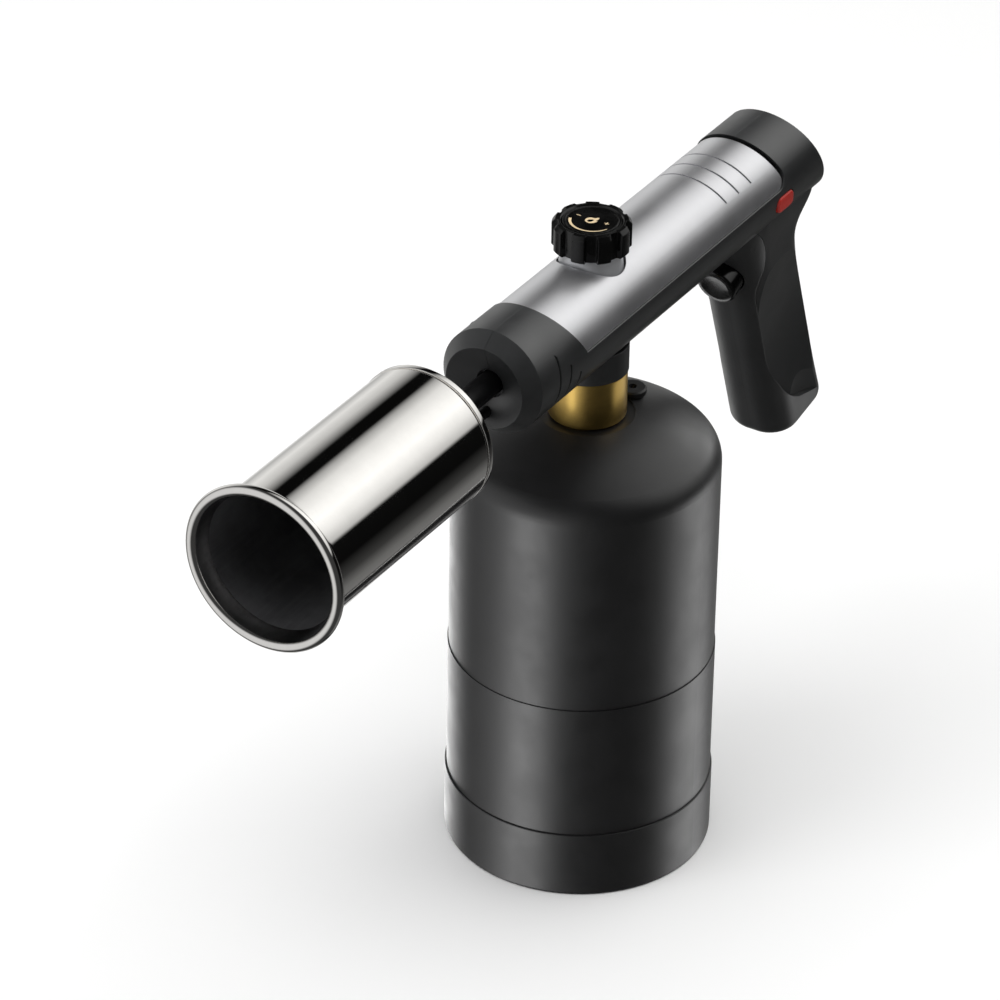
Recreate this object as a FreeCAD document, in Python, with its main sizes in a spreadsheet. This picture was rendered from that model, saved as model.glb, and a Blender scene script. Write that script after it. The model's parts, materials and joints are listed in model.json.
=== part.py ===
import FreeCAD, Part
import math
import os
import Sketcher

# Propane torch: a flame gun screwed onto a 1 lb gas cylinder.
# Frame: origin on the table under the cylinder's axis, +Z up, the burner points along -Y.
# Lengths are millimetres, angles degrees. Parts of the horizontal spine are described by a
# radius and a station, the distance forward (towards -Y) along the spine's axis.

DIMENSIONS = {
    # gas cylinder
    "can_radius": 49.0,
    "can_wall": 1.0,
    "can_base": 2.0,
    "can_tangent": 160.0,
    "can_knuckle": 9.8,
    "can_crown": 86.0,
    "can_mouth": 11.0,
    "sleeve_radius": 49.34,
    "sleeve_top": 81.9,
    "cup_radius": 49.96,
    "cup_inner": 49.4,
    "cup_top": 26.9,
    # relief valve in the dome
    "relief_x": 7.0,
    "relief_y": 20.0,
    "relief_top": 181.2,
    # threaded boss, 1 in - 20, and the coupling on it
    "thread_radius": 12.7,
    "boss_base": 178.4,
    "boss_top": 191.5,
    "seal_thick": 2.0,
    "coupling_radius": 14.2,
    "coupling_base": 179.1,
    "coupling_top": 197.6,
    "neck_radius": 14.55,
    # spine of the torch
    "axis_height": 224.1,
    "crest_height": 243.4,
    "housing_radius": 20.0,
    "cavity_radius": 17.2,
    "nose_front": 71.0,
    "nose_edge": 65.1,
    "nose_inner": 15.4,
    "nose_dish": 67.0,
    "nose_wall": 3.5,
    "stem_hole": 5.3,
    "shell_outer": 19.35,
    "shell_inner": 17.35,
    "shell_edge": 226.8,
    "front_seam": -44.6,
    "front_slope": 0.6,
    "rear_seam": 100.0,
    "rear_slope": 0.45,
    "rear_gap": 2.0,
    "cap_face": 125.3,
    "cap_slope": 0.5,
    # burner
    "burner_radius": 26.05,
    "burner_wall": 0.9,
    "burner_start": 109.7,
    "burner_flare": 198.5,
    "bead_radius": 2.0,
    "bead_centre": 28.5,
    "bead_station": 204.8,
    "ring_radius": 26.35,
    "ring_start": 107.0,
    "stem_radius": 4.5,
    "stem_bore": 3.0,
    "head_radius": 7.6,
    # flow valve and knob
    "valve_radius": 10.5,
    "valve_top": 236.0,
    "chamber_radius": 4.0,
    "shaft_radius": 2.5,
    "knob_radius": 14.2,
    "knob_base": 246.3,
    "knob_top": 257.0,
    "knob_lobes": 9.0,
    "boss_foot": 12.2,
    "boss_crown": 10.6,
    # grip
    "grip_base": 103.6,
    "grip_foot_slope": 0.2,
    "grip_foot_round": 4.5,
    "grip_slope": 0.352,
    "grip_front": 105.7,
    "grip_back": 144.5,
    "grip_level": 164.0,
    "grip_corner": 12.0,
    "grip_wall": 7.2,
    # trigger in the front of the grip
    "trigger_level": 187.0,
    "trigger_radius": 8.0,
    "trigger_stand": 6.2,
    # igniter lead, which passes below the burner stem
    "lead_radius": 1.8,
    "lead_drop": 10.4,
    # lock button in the right-hand wall
    "lock_y": 106.5,
    "lock_z": 220.8,
    "lock_long": 11.5,
    "lock_high": 6.2,
    "lock_face": 20.6,
}


class Size:
    """A length that knows its number and the sheet expression that gives it."""

    def __init__(self, number, text):
        self.number = float(number)
        self.text = text

    def __add__(self, other):
        other = as_size(other)
        return Size(self.number + other.number, f"({self.text} + {other.text})")

    def __sub__(self, other):
        other = as_size(other)
        return Size(self.number - other.number, f"({self.text} - {other.text})")

    def __mul__(self, other):
        other = as_size(other)
        return Size(self.number * other.number, f"({self.text} * {other.text})")

    def __neg__(self):
        return self * -1


def as_size(value):
    """Return a Size for a plain number, or the Size itself."""
    if isinstance(value, Size):
        return value
    return Size(value, f"({float(value):.8g})")


# ------------------------------------------------------------------ document and sheet
doc = FreeCAD.newDocument("PropaneTorch")
sheet = doc.addObject("Spreadsheet::Sheet", "Dims")
for row, (alias, number) in enumerate(DIMENSIONS.items(), start=1):
    sheet.set(f"A{row}", alias)
    sheet.set(f"B{row}", str(number))
    sheet.setAlias(f"B{row}", alias)
doc.recompute()

D = {alias: Size(number, f"Dims.{alias}") for alias, number in DIMENSIONS.items()}
NODES = {}

UP = FreeCAD.Vector(0, 0, 1)
RIGHT = FreeCAD.Vector(1, 0, 0)
FORWARD = FreeCAD.Vector(0, -1, 0)
GRIP_LEAN = math.atan(D["grip_slope"].number)
TRIGGER_OUT = FreeCAD.Vector(0, -math.cos(GRIP_LEAN), -math.sin(GRIP_LEAN))


def keep(node, thing):
    """Give a finished sub-part the label that names its file."""
    thing.Label = node
    NODES[node] = thing
    return thing


def bind(thing, prop, value):
    """Drive one property of a document object from the sheet."""
    thing.setExpression(prop, as_size(value).text)


def place(thing, base, direction=UP):
    """Stand a thing's own Z along a direction at a base point; sizes stay bound."""
    numbers = [as_size(value).number for value in base]
    thing.Placement = FreeCAD.Placement(
        FreeCAD.Vector(*numbers), FreeCAD.Rotation(UP, direction)
    )
    for letter, value in zip("xyz", base):
        bind(thing, f"Placement.Base.{letter}", value)
    return thing


def on_spine(thing):
    """Turn a part made round Z so that it lies along the spine, Z pointing forward."""
    thing.Placement = FreeCAD.Placement(
        FreeCAD.Vector(0, 0, D["axis_height"].number), FreeCAD.Rotation(RIGHT, 90)
    )
    bind(thing, "Placement.Base.z", D["axis_height"])
    return thing


# ------------------------------------------------------------------ sketches and solids
def origin_plane(body, role):
    """One of a body's own origin planes, found by its role."""
    for feature in body.Origin.OriginFeatures:
        if feature.Role == role:
            return feature
    raise ValueError(role)


def arc_between(start, end, radius):
    """Short arc from start to end; it runs counter-clockwise when the radius is positive."""
    first, last = (start, end) if radius > 0 else (end, start)
    chord = last - first
    half = chord.Length / 2
    size = max(abs(radius), half)
    left = FreeCAD.Vector(-chord.y, chord.x, 0).normalize()
    centre = (first + last) * 0.5 + left * math.sqrt(size * size - half * half)
    angle_first = math.atan2(first.y - centre.y, first.x - centre.x)
    angle_last = math.atan2(last.y - centre.y, last.x - centre.x)
    if angle_last <= angle_first:
        angle_last += 2 * math.pi
    circle = Part.Circle(centre, UP, size)
    return Part.ArcOfCircle(circle, angle_first, angle_last)


def fix_datum(sketch, constraint, size):
    """Add a dimension to a sketch and bind it to the sheet."""
    index = sketch.addConstraint(constraint)
    sketch.setExpression(f"Constraints[{index}]", size.text)


def fix_corner(sketch, edge, end, across, up):
    """Hold one corner of an outline at its distances from the sketch's origin."""
    across = as_size(across)
    up = as_size(up)
    if across.number == 0:
        sketch.addConstraint(Sketcher.Constraint("PointOnObject", edge, end, -2))
    else:
        datum = Sketcher.Constraint("DistanceX", -1, 1, edge, end, across.number)
        fix_datum(sketch, datum, across)
    if up.number == 0:
        sketch.addConstraint(Sketcher.Constraint("PointOnObject", edge, end, -1))
    else:
        datum = Sketcher.Constraint("DistanceY", -1, 1, edge, end, up.number)
        fix_datum(sketch, datum, up)


def draw_outline(body, name, role, outline, offset=None):
    """Closed sketch through corners (across, up) or (across, up, radius of the next arc)."""
    sketch = body.newObject("Sketcher::SketchObject", name)
    sketch.AttachmentSupport = [(origin_plane(body, role), "")]
    sketch.MapMode = "FlatFace"
    if offset is not None:
        bind(sketch, "AttachmentOffset.Base.z", offset)
    points = [
        FreeCAD.Vector(as_size(corner[0]).number, as_size(corner[1]).number, 0)
        for corner in outline
    ]
    ends = []
    for index, corner in enumerate(outline):
        start = points[index]
        stop = points[(index + 1) % len(points)]
        if len(corner) == 3:
            bend = as_size(corner[2])
            sketch.addGeometry(arc_between(start, stop, bend.number))
            ends.append((1, 2) if bend.number > 0 else (2, 1))
        else:
            sketch.addGeometry(Part.LineSegment(start, stop))
            ends.append((1, 2))
    for index in range(len(outline)):
        after = (index + 1) % len(outline)
        joined = ("Coincident", index, ends[index][1], after, ends[after][0])
        sketch.addConstraint(Sketcher.Constraint(*joined))
    for index, corner in enumerate(outline):
        fix_corner(sketch, index, ends[index][0], corner[0], corner[1])
        if len(corner) == 3:
            bend = as_size(corner[2])
            if bend.number < 0:
                bend = -bend
            datum = Sketcher.Constraint("Radius", index, bend.number)
            fix_datum(sketch, datum, bend)
    return sketch


def turned(name, outline):
    """Solid of revolution about the body's Z axis from corners (radius, height)."""
    body = doc.addObject("PartDesign::Body", name)
    sketch = draw_outline(body, f"{name}_profile", "XZ_Plane", outline)
    turn = body.newObject("PartDesign::Revolution", f"{name}_turn")
    turn.Profile = sketch
    turn.ReferenceAxis = (sketch, ["V_Axis"])
    turn.Angle = 360
    return body


def side_prism(name, outline, width):
    """Prism across X, equal both sides, from corners (y, z)."""
    body = doc.addObject("PartDesign::Body", name)
    sketch = draw_outline(body, f"{name}_profile", "YZ_Plane", outline)
    pad = body.newObject("PartDesign::Pad", f"{name}_pad")
    pad.Profile = sketch
    pad.SideType = "Symmetric"
    bind(pad, "Length", width)
    return body


def lifted_prism(name, role, outline, low, length):
    """Prism along a plane's normal, starting at a height above that plane."""
    body = doc.addObject("PartDesign::Body", name)
    sketch = draw_outline(body, f"{name}_profile", role, outline, offset=low)
    pad = body.newObject("PartDesign::Pad", f"{name}_pad")
    pad.Profile = sketch
    bind(pad, "Length", length)
    return body


def rod(name, radius, length, base, direction=UP):
    """Plain cylinder from a base point along a direction."""
    cylinder = doc.addObject("Part::Cylinder", name)
    bind(cylinder, "Radius", radius)
    bind(cylinder, "Height", length)
    return place(cylinder, base, direction)


def cut(name, base, *tools):
    """Base less one or more tools."""
    tool = tools[0] if len(tools) == 1 else fuse(f"{name}_tools", *tools)
    result = doc.addObject("Part::Cut", name)
    result.Base = base
    result.Tool = tool
    return result


def fuse(name, *shapes):
    """Union of the shapes."""
    result = doc.addObject("Part::MultiFuse", name)
    result.Shapes = list(shapes)
    return result


def common(name, first, second):
    """What two shapes share."""
    result = doc.addObject("Part::Common", name)
    result.Base = first
    result.Tool = second
    return result


def rounded_box(wide, deep, corner):
    """Corners of a rectangle about the origin with round corners, counter-clockwise."""
    wide, deep, corner = as_size(wide), as_size(deep), as_size(corner)
    flat_x = wide - corner
    flat_y = deep - corner
    return [
        (-flat_x, -deep),
        (flat_x, -deep, corner),
        (wide, -flat_y),
        (wide, flat_y, corner),
        (flat_x, deep),
        (-flat_x, deep, corner),
        (-wide, flat_y),
        (-wide, -flat_y, corner),
    ]


def coil(name, mean_radius, wire_radius, length, turns, base, direction=UP):
    """Compression spring standing on a base point."""
    body = doc.addObject("PartDesign::Body", name)
    sketch = body.newObject("Sketcher::SketchObject", f"{name}_wire")
    sketch.AttachmentSupport = [(origin_plane(body, "XZ_Plane"), "")]
    sketch.MapMode = "FlatFace"
    centre = FreeCAD.Vector(mean_radius, wire_radius, 0)
    sketch.addGeometry(Part.Circle(centre, UP, wire_radius))
    fix_corner(sketch, 0, 3, mean_radius, wire_radius)
    fix_datum(sketch, Sketcher.Constraint("Radius", 0, wire_radius), as_size(wire_radius))
    helix = body.newObject("PartDesign::AdditiveHelix", f"{name}_helix")
    helix.Profile = sketch
    helix.ReferenceAxis = (sketch, ["V_Axis"])
    helix.Mode = "height-turns-angle"
    bind(helix, "Turns", turns)
    bind(helix, "Height", length - 2 * wire_radius)
    return place(body, base, direction)


# ------------------------------------------------------------------ gas cylinder
def can_outline(inset):
    """Half section of the bottle, inset from its outside, closed on the axis."""
    wall = D["can_radius"] - inset
    knuckle = D["can_knuckle"] - inset
    crown = D["can_crown"] - inset
    corner_x = D["can_radius"].number - D["can_knuckle"].number
    reach = D["can_crown"].number - D["can_knuckle"].number
    tilt = math.asin(corner_x / reach)
    crown_drop = reach * math.cos(tilt)
    turn_x = D["can_radius"] - D["can_knuckle"] + knuckle * math.sin(tilt)
    turn_z = D["can_tangent"] + knuckle * math.cos(tilt)
    apex_z = D["can_tangent"] - crown_drop + crown
    heel = 5.0 - inset
    return [
        (0, D["can_base"] + 7 + inset),
        (38, D["can_base"] + inset),
        (D["can_radius"] - 5, D["can_base"] + inset, heel),
        (wall, D["can_base"] + 5),
        (wall, D["can_tangent"], knuckle),
        (turn_x, turn_z, crown),
        (0, apex_z),
    ]


def make_cylinder_shell():
    """Drawn steel bottle, hollow, with a flat seat and a mouth for the valve boss."""
    outside = turned("bottle_outside", can_outline(0))
    inside = turned("bottle_inside", can_outline(D["can_wall"].number))
    mouth = rod("bottle_mouth", D["can_mouth"], 40, (0, 0, 150))
    seat = rod("bottle_seat", 17.4, 10, (0, 0, D["boss_base"]))
    relief = rod("bottle_relief", 4.2, 20, (D["relief_x"], D["relief_y"], 165))
    hollow = cut("bottle_hollow", outside, inside)
    # a thin pad under the flat seat keeps the head closed round the boss
    pad = turned(
        "bottle_pad",
        [
            (D["can_mouth"], D["boss_base"] - 1.6),
            (18.2, D["boss_base"] - 1.6),
            (18.2, D["boss_base"]),
            (D["can_mouth"], D["boss_base"]),
        ],
    )
    closed = fuse("bottle_closed", hollow, pad)
    keep("cylinder_shell", cut("bottle_done", closed, mouth, seat, relief))


def make_cylinder_trim():
    """Thin sleeve round the lower wall and the plastic foot under it."""
    sleeve = [
        (D["can_radius"] + 0.02, 8),
        (D["sleeve_radius"], 8),
        (D["sleeve_radius"], D["sleeve_top"]),
        (D["can_radius"] + 0.02, D["sleeve_top"]),
    ]
    keep("shrink_sleeve", turned("sleeve", sleeve))
    cup = [
        (0, 0),
        (D["cup_radius"] - 1, 0, 1),
        (D["cup_radius"], 1),
        (D["cup_radius"], D["cup_top"] - 0.3),
        (D["cup_radius"] - 0.3, D["cup_top"]),
        (D["cup_inner"], D["cup_top"]),
        (D["cup_inner"], D["can_base"]),
        (0, D["can_base"]),
    ]
    keep("foot_cup", turned("cup", cup))


def make_cylinder_valve():
    """Threaded boss with the check valve's pin and spring in it."""
    pin_bore = 1.55
    boss = [
        (3.4, 170),
        (D["can_mouth"], 170),
        (D["can_mouth"], D["boss_base"]),
        (D["thread_radius"] - 0.05, D["boss_base"]),
        (D["thread_radius"] - 0.05, D["boss_top"] - 0.8),
        (D["thread_radius"] - 0.85, D["boss_top"]),
        (4, D["boss_top"]),
        (4, 184),
        (pin_bore, 184),
        (pin_bore, 180),
        (3.4, 180),
    ]
    keep("valve_boss", turned("boss", boss))
    plug = [
        (0.8, 168.4),
        (5, 168.4),
        (5, 170),
        (0.8, 170),
    ]
    keep("spring_plug", turned("plug", plug))
    pin = [
        (0, 176.5),
        (3, 176.5),
        (3, 178.3),
        (1.5, 178.3),
        (1.5, 187.3),
        (1.3, 187.5),
        (0, 187.5),
    ]
    keep("check_valve_pin", turned("check_pin", pin))
    spring = coil("check_spring", 2.2, 0.35, 6.4, 5, (0, 0, 170.05))
    keep("check_valve_spring", spring)


def make_relief_valve():
    """Over-pressure valve pressed into the dome: body, poppet and spring."""
    top = D["relief_top"]
    where = (D["relief_x"], D["relief_y"], 0)
    body = [
        (2.2, 166),
        (4.2, 166),
        (4.2, 178.9),
        (5.2, 178.9),
        (5.2, top - 0.6),
        (4.6, top),
        (1.6, top),
        (1.6, 176),
        (2.2, 176),
    ]
    keep("relief_valve_body", place(turned("relief_body", body), where))
    poppet = [
        (0, 173),
        (1.9, 173),
        (1.9, 174.6),
        (1.54, 174.6),
        (1.54, top - 1.4),
        (0, top - 1),
    ]
    keep("relief_valve_poppet", place(turned("relief_poppet", poppet), where))
    base = (D["relief_x"], D["relief_y"], 166.1)
    keep("relief_valve_spring", coil("relief_spring", 1.5, 0.3, 6.8, 6, base))
    cap = [
        (0.6, 165),
        (2.9, 165),
        (2.9, 166),
        (0.6, 166),
    ]
    keep("relief_spring_cap", place(turned("relief_cap", cap), where))


# ------------------------------------------------------------------ coupling and flow valve
def make_coupling():
    """Rubber washer, brass coupling, black neck and the pin that opens the check valve."""
    top = D["boss_top"]
    roof = top + D["seal_thick"]
    seal = [
        (6, top),
        (12.35, top),
        (12.35, roof),
        (6, roof),
    ]
    keep("coupling_seal", turned("seal", seal))
    coupling = [
        (D["thread_radius"] + 0.05, D["coupling_base"]),
        (D["coupling_radius"] - 0.5, D["coupling_base"]),
        (D["coupling_radius"], D["coupling_base"] + 0.5),
        (D["coupling_radius"], D["coupling_top"] - 0.5),
        (D["coupling_radius"] - 0.5, D["coupling_top"]),
        (8, D["coupling_top"]),
        (8, roof),
        (D["thread_radius"] + 0.05, roof),
    ]
    keep("brass_coupling", turned("coupling", coupling))
    neck = [
        (D["valve_radius"], D["coupling_top"]),
        (D["neck_radius"], D["coupling_top"]),
        (D["neck_radius"], 208.5),
        (D["valve_radius"], 208.5),
    ]
    keep("neck_collar", turned("neck", neck))
    pin = [
        (0, 187.55),
        (1.2, 187.55),
        (1.2, 195.5),
        (0, 195.5),
    ]
    keep("depressor_pin", turned("depressor", pin))


def make_valve_body():
    """Brass valve body: inlet spigot, needle chamber and the outlet towards the burner."""
    chamber = D["chamber_radius"]
    outline = [
        (1.2, D["boss_top"] + D["seal_thick"]),
        (8, D["boss_top"] + D["seal_thick"]),
        (8, D["coupling_top"]),
        (D["valve_radius"], D["coupling_top"]),
        (D["valve_radius"], D["valve_top"]),
        (chamber, D["valve_top"]),
        (chamber, 216),
        (1.6, 215),
        (1.6, 197),
        (1.2, 196.4),
    ]
    blank = turned("valve_blank", outline)
    inlet = rod("valve_inlet", 1.5, 9, (3.6, 0, 190))
    feed = rod("valve_feed", 1.2, 7, (0, 0, 198.2), RIGHT)
    rise = rod("valve_rise", 1.5, 2, (3.6, 0, 197.5))
    outlet = rod("valve_outlet", 2, 12, (0, 0, D["axis_height"]), FORWARD)
    port = rod("valve_port", 3, 5, (0, -7, D["axis_height"]), FORWARD)
    keep("valve_body", cut("valve_cut", blank, inlet, feed, rise, outlet, port))


def make_valve_inside():
    """Needle, stem, stem seal and the nut that holds them down."""
    bore = D["chamber_radius"]
    shaft = D["shaft_radius"]
    needle = [
        (0, 213.6),
        (1.5, 215.05),
        (1.9, 216.3),
        (bore - 0.05, 218),
        (bore - 0.05, 223.6),
        (2.05, 223.6),
        (2.05, 218.2),
        (0, 218.2),
    ]
    keep("needle", turned("needle_body", needle))
    stem = [
        (0, 219.6),
        (2, 219.6),
        (2, 226),
        (bore - 0.06, 226),
        (bore - 0.06, 228),
        (shaft, 228),
        (shaft, 252.5),
        (1.2, 252.5),
        (1.2, 246),
        (0, 245.4),
    ]
    keep("valve_stem", turned("stem_body", stem))
    seal = [
        (shaft + 0.05, 228.2),
        (bore, 228.2),
        (bore, 230.6),
        (shaft + 0.05, 230.6),
    ]
    keep("stem_seal", turned("stem_ring", seal))
    nut = [
        (shaft + 0.05, 230.6),
        (bore, 230.6),
        (bore, D["valve_top"]),
        (7.6, D["valve_top"]),
        (7.6, 239),
        (shaft + 0.05, 239),
    ]
    keep("bonnet_nut", turned("nut_body", nut))


def make_knob_boss():
    """Tapered boss that stands through the top shell and carries the knob."""
    outline = [
        (8, D["valve_top"]),
        (D["boss_foot"], D["valve_top"]),
        (D["boss_crown"], D["knob_base"] - 0.4),
        (shaft_clear(), D["knob_base"] - 0.4),
        (shaft_clear(), 239.2),
        (8, 239.2),
    ]
    keep("knob_boss", turned("boss_ring", outline))


def shaft_clear():
    """Radius of a hole that the valve stem turns freely in."""
    return D["shaft_radius"] + 0.5


def make_knob():
    """Lobed knob with its dial plate and screw."""
    base = D["knob_base"]
    top = D["knob_top"]
    outer = D["knob_radius"]
    blank = turned(
        "knob_blank",
        [
            (D["shaft_radius"], base),
            (outer - 0.8, base, 0.8),
            (outer, base + 0.8),
            (outer, top - 2.4, 2.4),
            (outer - 2.4, top),
            (11, top),
            (10.6, top - 0.7),
            (3.6, top - 0.7),
            (3.6, top - 3.4),
            (1.3, top - 3.4),
            (1.3, 252.5),
            (D["shaft_radius"], 252.5),
        ],
    )
    # shallow flutes between the lobes, all round the rim
    step = 360 / D["knob_lobes"].number
    flutes = []
    for index in range(int(D["knob_lobes"].number)):
        angle = math.radians(step * index)
        reach = D["knob_radius"] + 1.1
        spot = (reach * math.cos(angle), reach * math.sin(angle), base - 1)
        flutes.append(rod(f"knob_flute_{index}", 2.1, 14, spot))
    keep("knob", cut("knob_body", blank, *flutes))
    plate = [
        (0, top - 0.68),
        (10.45, top - 0.68),
        (10.45, top - 0.3),
        (0, top - 0.3),
    ]
    keep("dial_plate", turned("dial", plate))
    screw = [
        (0, 246.3),
        (1.2, 246.3),
        (1.2, 253.6),
        (3.2, 253.6),
        (3.2, 255.2),
        (0, 255.8),
    ]
    keep("knob_screw", turned("knob_screw_body", screw))


# ------------------------------------------------------------------ gas path and burner
def make_gas_path():
    """Tube, jet holder, jet, burner stem and its lock nut, all along the spine."""
    tube = [
        (2, 7),
        (3, 7),
        (3, 46),
        (2, 46),
    ]
    keep("gas_tube", on_spine(turned("tube", tube)))
    holder = [
        (3, 38),
        (8, 38),
        (8, 57),
        (D["stem_radius"], 57),
        (D["stem_radius"], 50),
        (3, 50),
    ]
    keep("jet_holder", on_spine(turned("holder", holder)))
    jet = [
        (0.35, 46),
        (3, 46),
        (3, 50),
        (0.35, 50),
    ]
    keep("gas_jet", on_spine(turned("jet", jet)))
    stem = [
        (D["stem_bore"], 50),
        (D["stem_radius"], 50),
        (D["stem_radius"], 118),
        (D["stem_bore"], 118),
    ]
    keep("burner_stem", on_spine(turned("stem_tube", stem)))
    nut = [
        (D["stem_radius"], 59.3),
        (6.9, 59.3),
        (6.9, D["nose_dish"] - D["nose_wall"]),
        (D["stem_radius"], D["nose_dish"] - D["nose_wall"]),
    ]
    keep("stem_lock_nut", on_spine(turned("lock_nut", nut)))


def make_burner_head():
    """Flame spreader: a thick cap on the stem with a ring of gas holes."""
    outer = D["head_radius"]
    blank = turned(
        "head_blank",
        [
            (D["stem_radius"], 111),
            (outer, 111),
            (outer, 127.5),
            (outer - 1.5, 129),
            (0, 129),
            (0, 125),
            (D["stem_bore"] + 2.2, 122),
            (D["stem_bore"] + 2.2, 118),
            (D["stem_radius"], 118),
        ],
    )
    holes = [rod("head_hole_centre", 0.9, 12, (0, 0, 120))]
    for index in range(8):
        angle = math.radians(45 * index)
        spot = (4.2 * math.cos(angle), 4.2 * math.sin(angle), 119.5)
        holes.append(rod(f"head_hole_{index}", 0.7, 12, spot))
    keep("burner_head", on_spine(cut("head_body", blank, *holes)))


def make_burner_back():
    """End ring and the plate in it, with air holes round the stem."""
    bore = D["burner_radius"] - D["burner_wall"]
    ring = [
        (bore, D["ring_start"]),
        (D["ring_radius"] - 0.4, D["ring_start"], 0.4),
        (D["ring_radius"], D["ring_start"] + 0.4),
        (D["ring_radius"], D["burner_start"] - 0.25),
        (bore, D["burner_start"] - 0.25),
    ]
    keep("burner_end_ring", on_spine(turned("end_ring", ring)))
    disc = turned(
        "plate_disc",
        [
            (D["stem_radius"], D["ring_start"] + 0.5),
            (bore, D["ring_start"] + 0.5),
            (bore, D["ring_start"] + 1.9),
            (D["stem_radius"], D["ring_start"] + 1.9),
        ],
    )
    holes = []
    for index in range(8):
        angle = math.radians(22.5 + 45 * index)
        spot = (16.5 * math.cos(angle), 16.5 * math.sin(angle), 100)
        holes.append(rod(f"plate_hole_{index}", 4.2, 16, spot))
    lead_drop = D["lead_drop"]
    holes.append(rod("plate_lead_hole", 2.6, 16, (0, -lead_drop, 100)))
    keep("burner_rear_plate", on_spine(cut("plate_body", disc, *holes)))


def make_burner_tube():
    """Thin chromed tube that flares into a rolled bead at the mouth."""
    outer = D["burner_radius"]
    bore = D["burner_radius"] - D["burner_wall"]
    bead = D["bead_radius"]
    centre = D["bead_centre"]
    station = D["bead_station"]
    profile = [
        (bore, D["burner_start"]),
        (outer, D["burner_start"]),
        (outer, D["burner_flare"], -7),
        (centre - bead * 0.45, station - bead * 0.893, bead),
        (centre + bead, station, bead),
        (centre, station + bead, bead),
        (centre - bead, station),
        (bore, D["burner_flare"] + 1.5),
    ]
    keep("burner_tube", on_spine(turned("tube_wall", profile)))


# ------------------------------------------------------------------ ignition
def lead_path():
    """Centre line of the igniter lead: straight runs joined by tangent arcs."""
    low = D["axis_height"].number - D["lead_drop"].number
    points = [
        FreeCAD.Vector(0, 119.5, 202.0),
        FreeCAD.Vector(-2.5, 114.5, 210.5),
        FreeCAD.Vector(-9.5, 98.0, 214.2),
        FreeCAD.Vector(-9.7, 50.0, 214.4),
        FreeCAD.Vector(-12.6, 18.0, 220.0),
        FreeCAD.Vector(-12.6, -16.0, 220.5),
        FreeCAD.Vector(-4.5, -37.0, low + 0.5),
        FreeCAD.Vector(0, -52.0, low),
        FreeCAD.Vector(0, -104.0, low),
    ]
    edges = []
    here = points[0]
    for before, corner, after in zip(points, points[1:], points[2:]):
        way_in = (corner - before).normalize()
        way_out = (after - corner).normalize()
        half_turn = way_in.getAngle(way_out) / 2
        run = min((corner - before).Length, (after - corner).Length)
        radius = 0.45 * run / math.tan(half_turn)
        setback = 0.45 * run
        start = corner - way_in * setback
        stop = corner + way_out * setback
        inward = (way_out - way_in).normalize()
        middle = corner + inward * (radius / math.cos(half_turn) - radius)
        edges.append(Part.LineSegment(here, start).toShape())
        edges.append(Part.Arc(start, middle, stop).toShape())
        here = stop
        print("lead bend radius", round(radius, 1))
    edges.append(Part.LineSegment(here, points[-1]).toShape())
    return Part.Wire(edges)


def make_igniter_lead():
    """High-tension lead held along the spine, through the nose to the burner's back."""
    radius = D["lead_radius"].number
    path = lead_path()
    start = path.Vertexes[0].Point
    tangent = path.Edges[0].tangentAt(path.Edges[0].FirstParameter)
    ring = Part.Wire([Part.makeCircle(radius, start, tangent)])
    tube = path.makePipeShell([ring], True, False)
    expected = math.pi * radius * radius * path.Length
    print("lead volume against section times length", round(tube.Volume / expected, 4))
    lead = doc.addObject("Part::Feature", "lead")
    lead.Shape = tube
    lead.Placement = FreeCAD.Placement()
    keep("igniter_lead", lead)


def make_electrode():
    """Ceramic sleeve and steel rod that spark beside the flame spreader."""
    height = D["axis_height"] - D["lead_drop"]
    sleeve = [
        (0.8, 104),
        (2.5, 104),
        (2.5, 121),
        (1.9, 122),
        (0.8, 122),
    ]
    insulator = turned("sleeve_ceramic", sleeve)
    rod_outline = [
        (0, 104),
        (0.8, 104),
        (0.8, 131),
        (0, 131.8),
    ]
    wire = turned("electrode_rod", rod_outline)
    for node, thing in (("electrode_insulator", insulator), ("electrode", wire)):
        thing.Placement = FreeCAD.Placement(
            FreeCAD.Vector(0, 0, height.number), FreeCAD.Rotation(RIGHT, 90)
        )
        bind(thing, "Placement.Base.z", height)
        keep(node, thing)


def trigger_seat():
    """Point where the trigger's axis meets the front face of the grip."""
    level = D["trigger_level"]
    y = D["grip_front"] + (D["grip_level"] - level) * D["grip_slope"]
    return (0, y, level)


def trigger_point(out):
    """Point on the trigger's axis, a distance outwards from the grip's face."""
    seat = trigger_seat()
    return (0, seat[1] + TRIGGER_OUT.y * out, seat[2] + TRIGGER_OUT.z * out)


def trigger_solid(name, outline):
    """Turned part on the trigger's axis; heights count outwards from the grip's face."""
    return place(turned(name, outline), trigger_seat(), TRIGGER_OUT)


def make_trigger():
    """Trigger button, its return spring and the piezo igniter behind it."""
    radius = D["trigger_radius"]
    stand = D["trigger_stand"]
    rim = radius.number - 1.2
    dome = (rim * rim + 0.4 * 0.4) / (2 * 0.4)
    button = [
        (4.3, -5.8),
        (9.2, -5.8),
        (9.2, -4.4),
        (radius, -4.4),
        (radius, stand - 1.6, 1.2),
        (radius - 1.2, stand - 0.4, dome),
        (0, stand),
        (0, 3),
        (4.3, 3),
    ]
    keep("trigger_button", trigger_solid("button", button))
    igniter = [
        (0, -31),
        (6.2, -31),
        (6.2, -12.5),
        (2.4, -12.5),
        (2.4, -2.6),
        (0, -2.6),
    ]
    keep("piezo_igniter", trigger_solid("piezo", igniter))
    base = trigger_point(-12.35)
    keep("trigger_spring", coil("return_spring", 3.35, 0.45, 15.2, 6, base, TRIGGER_OUT))


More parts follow.
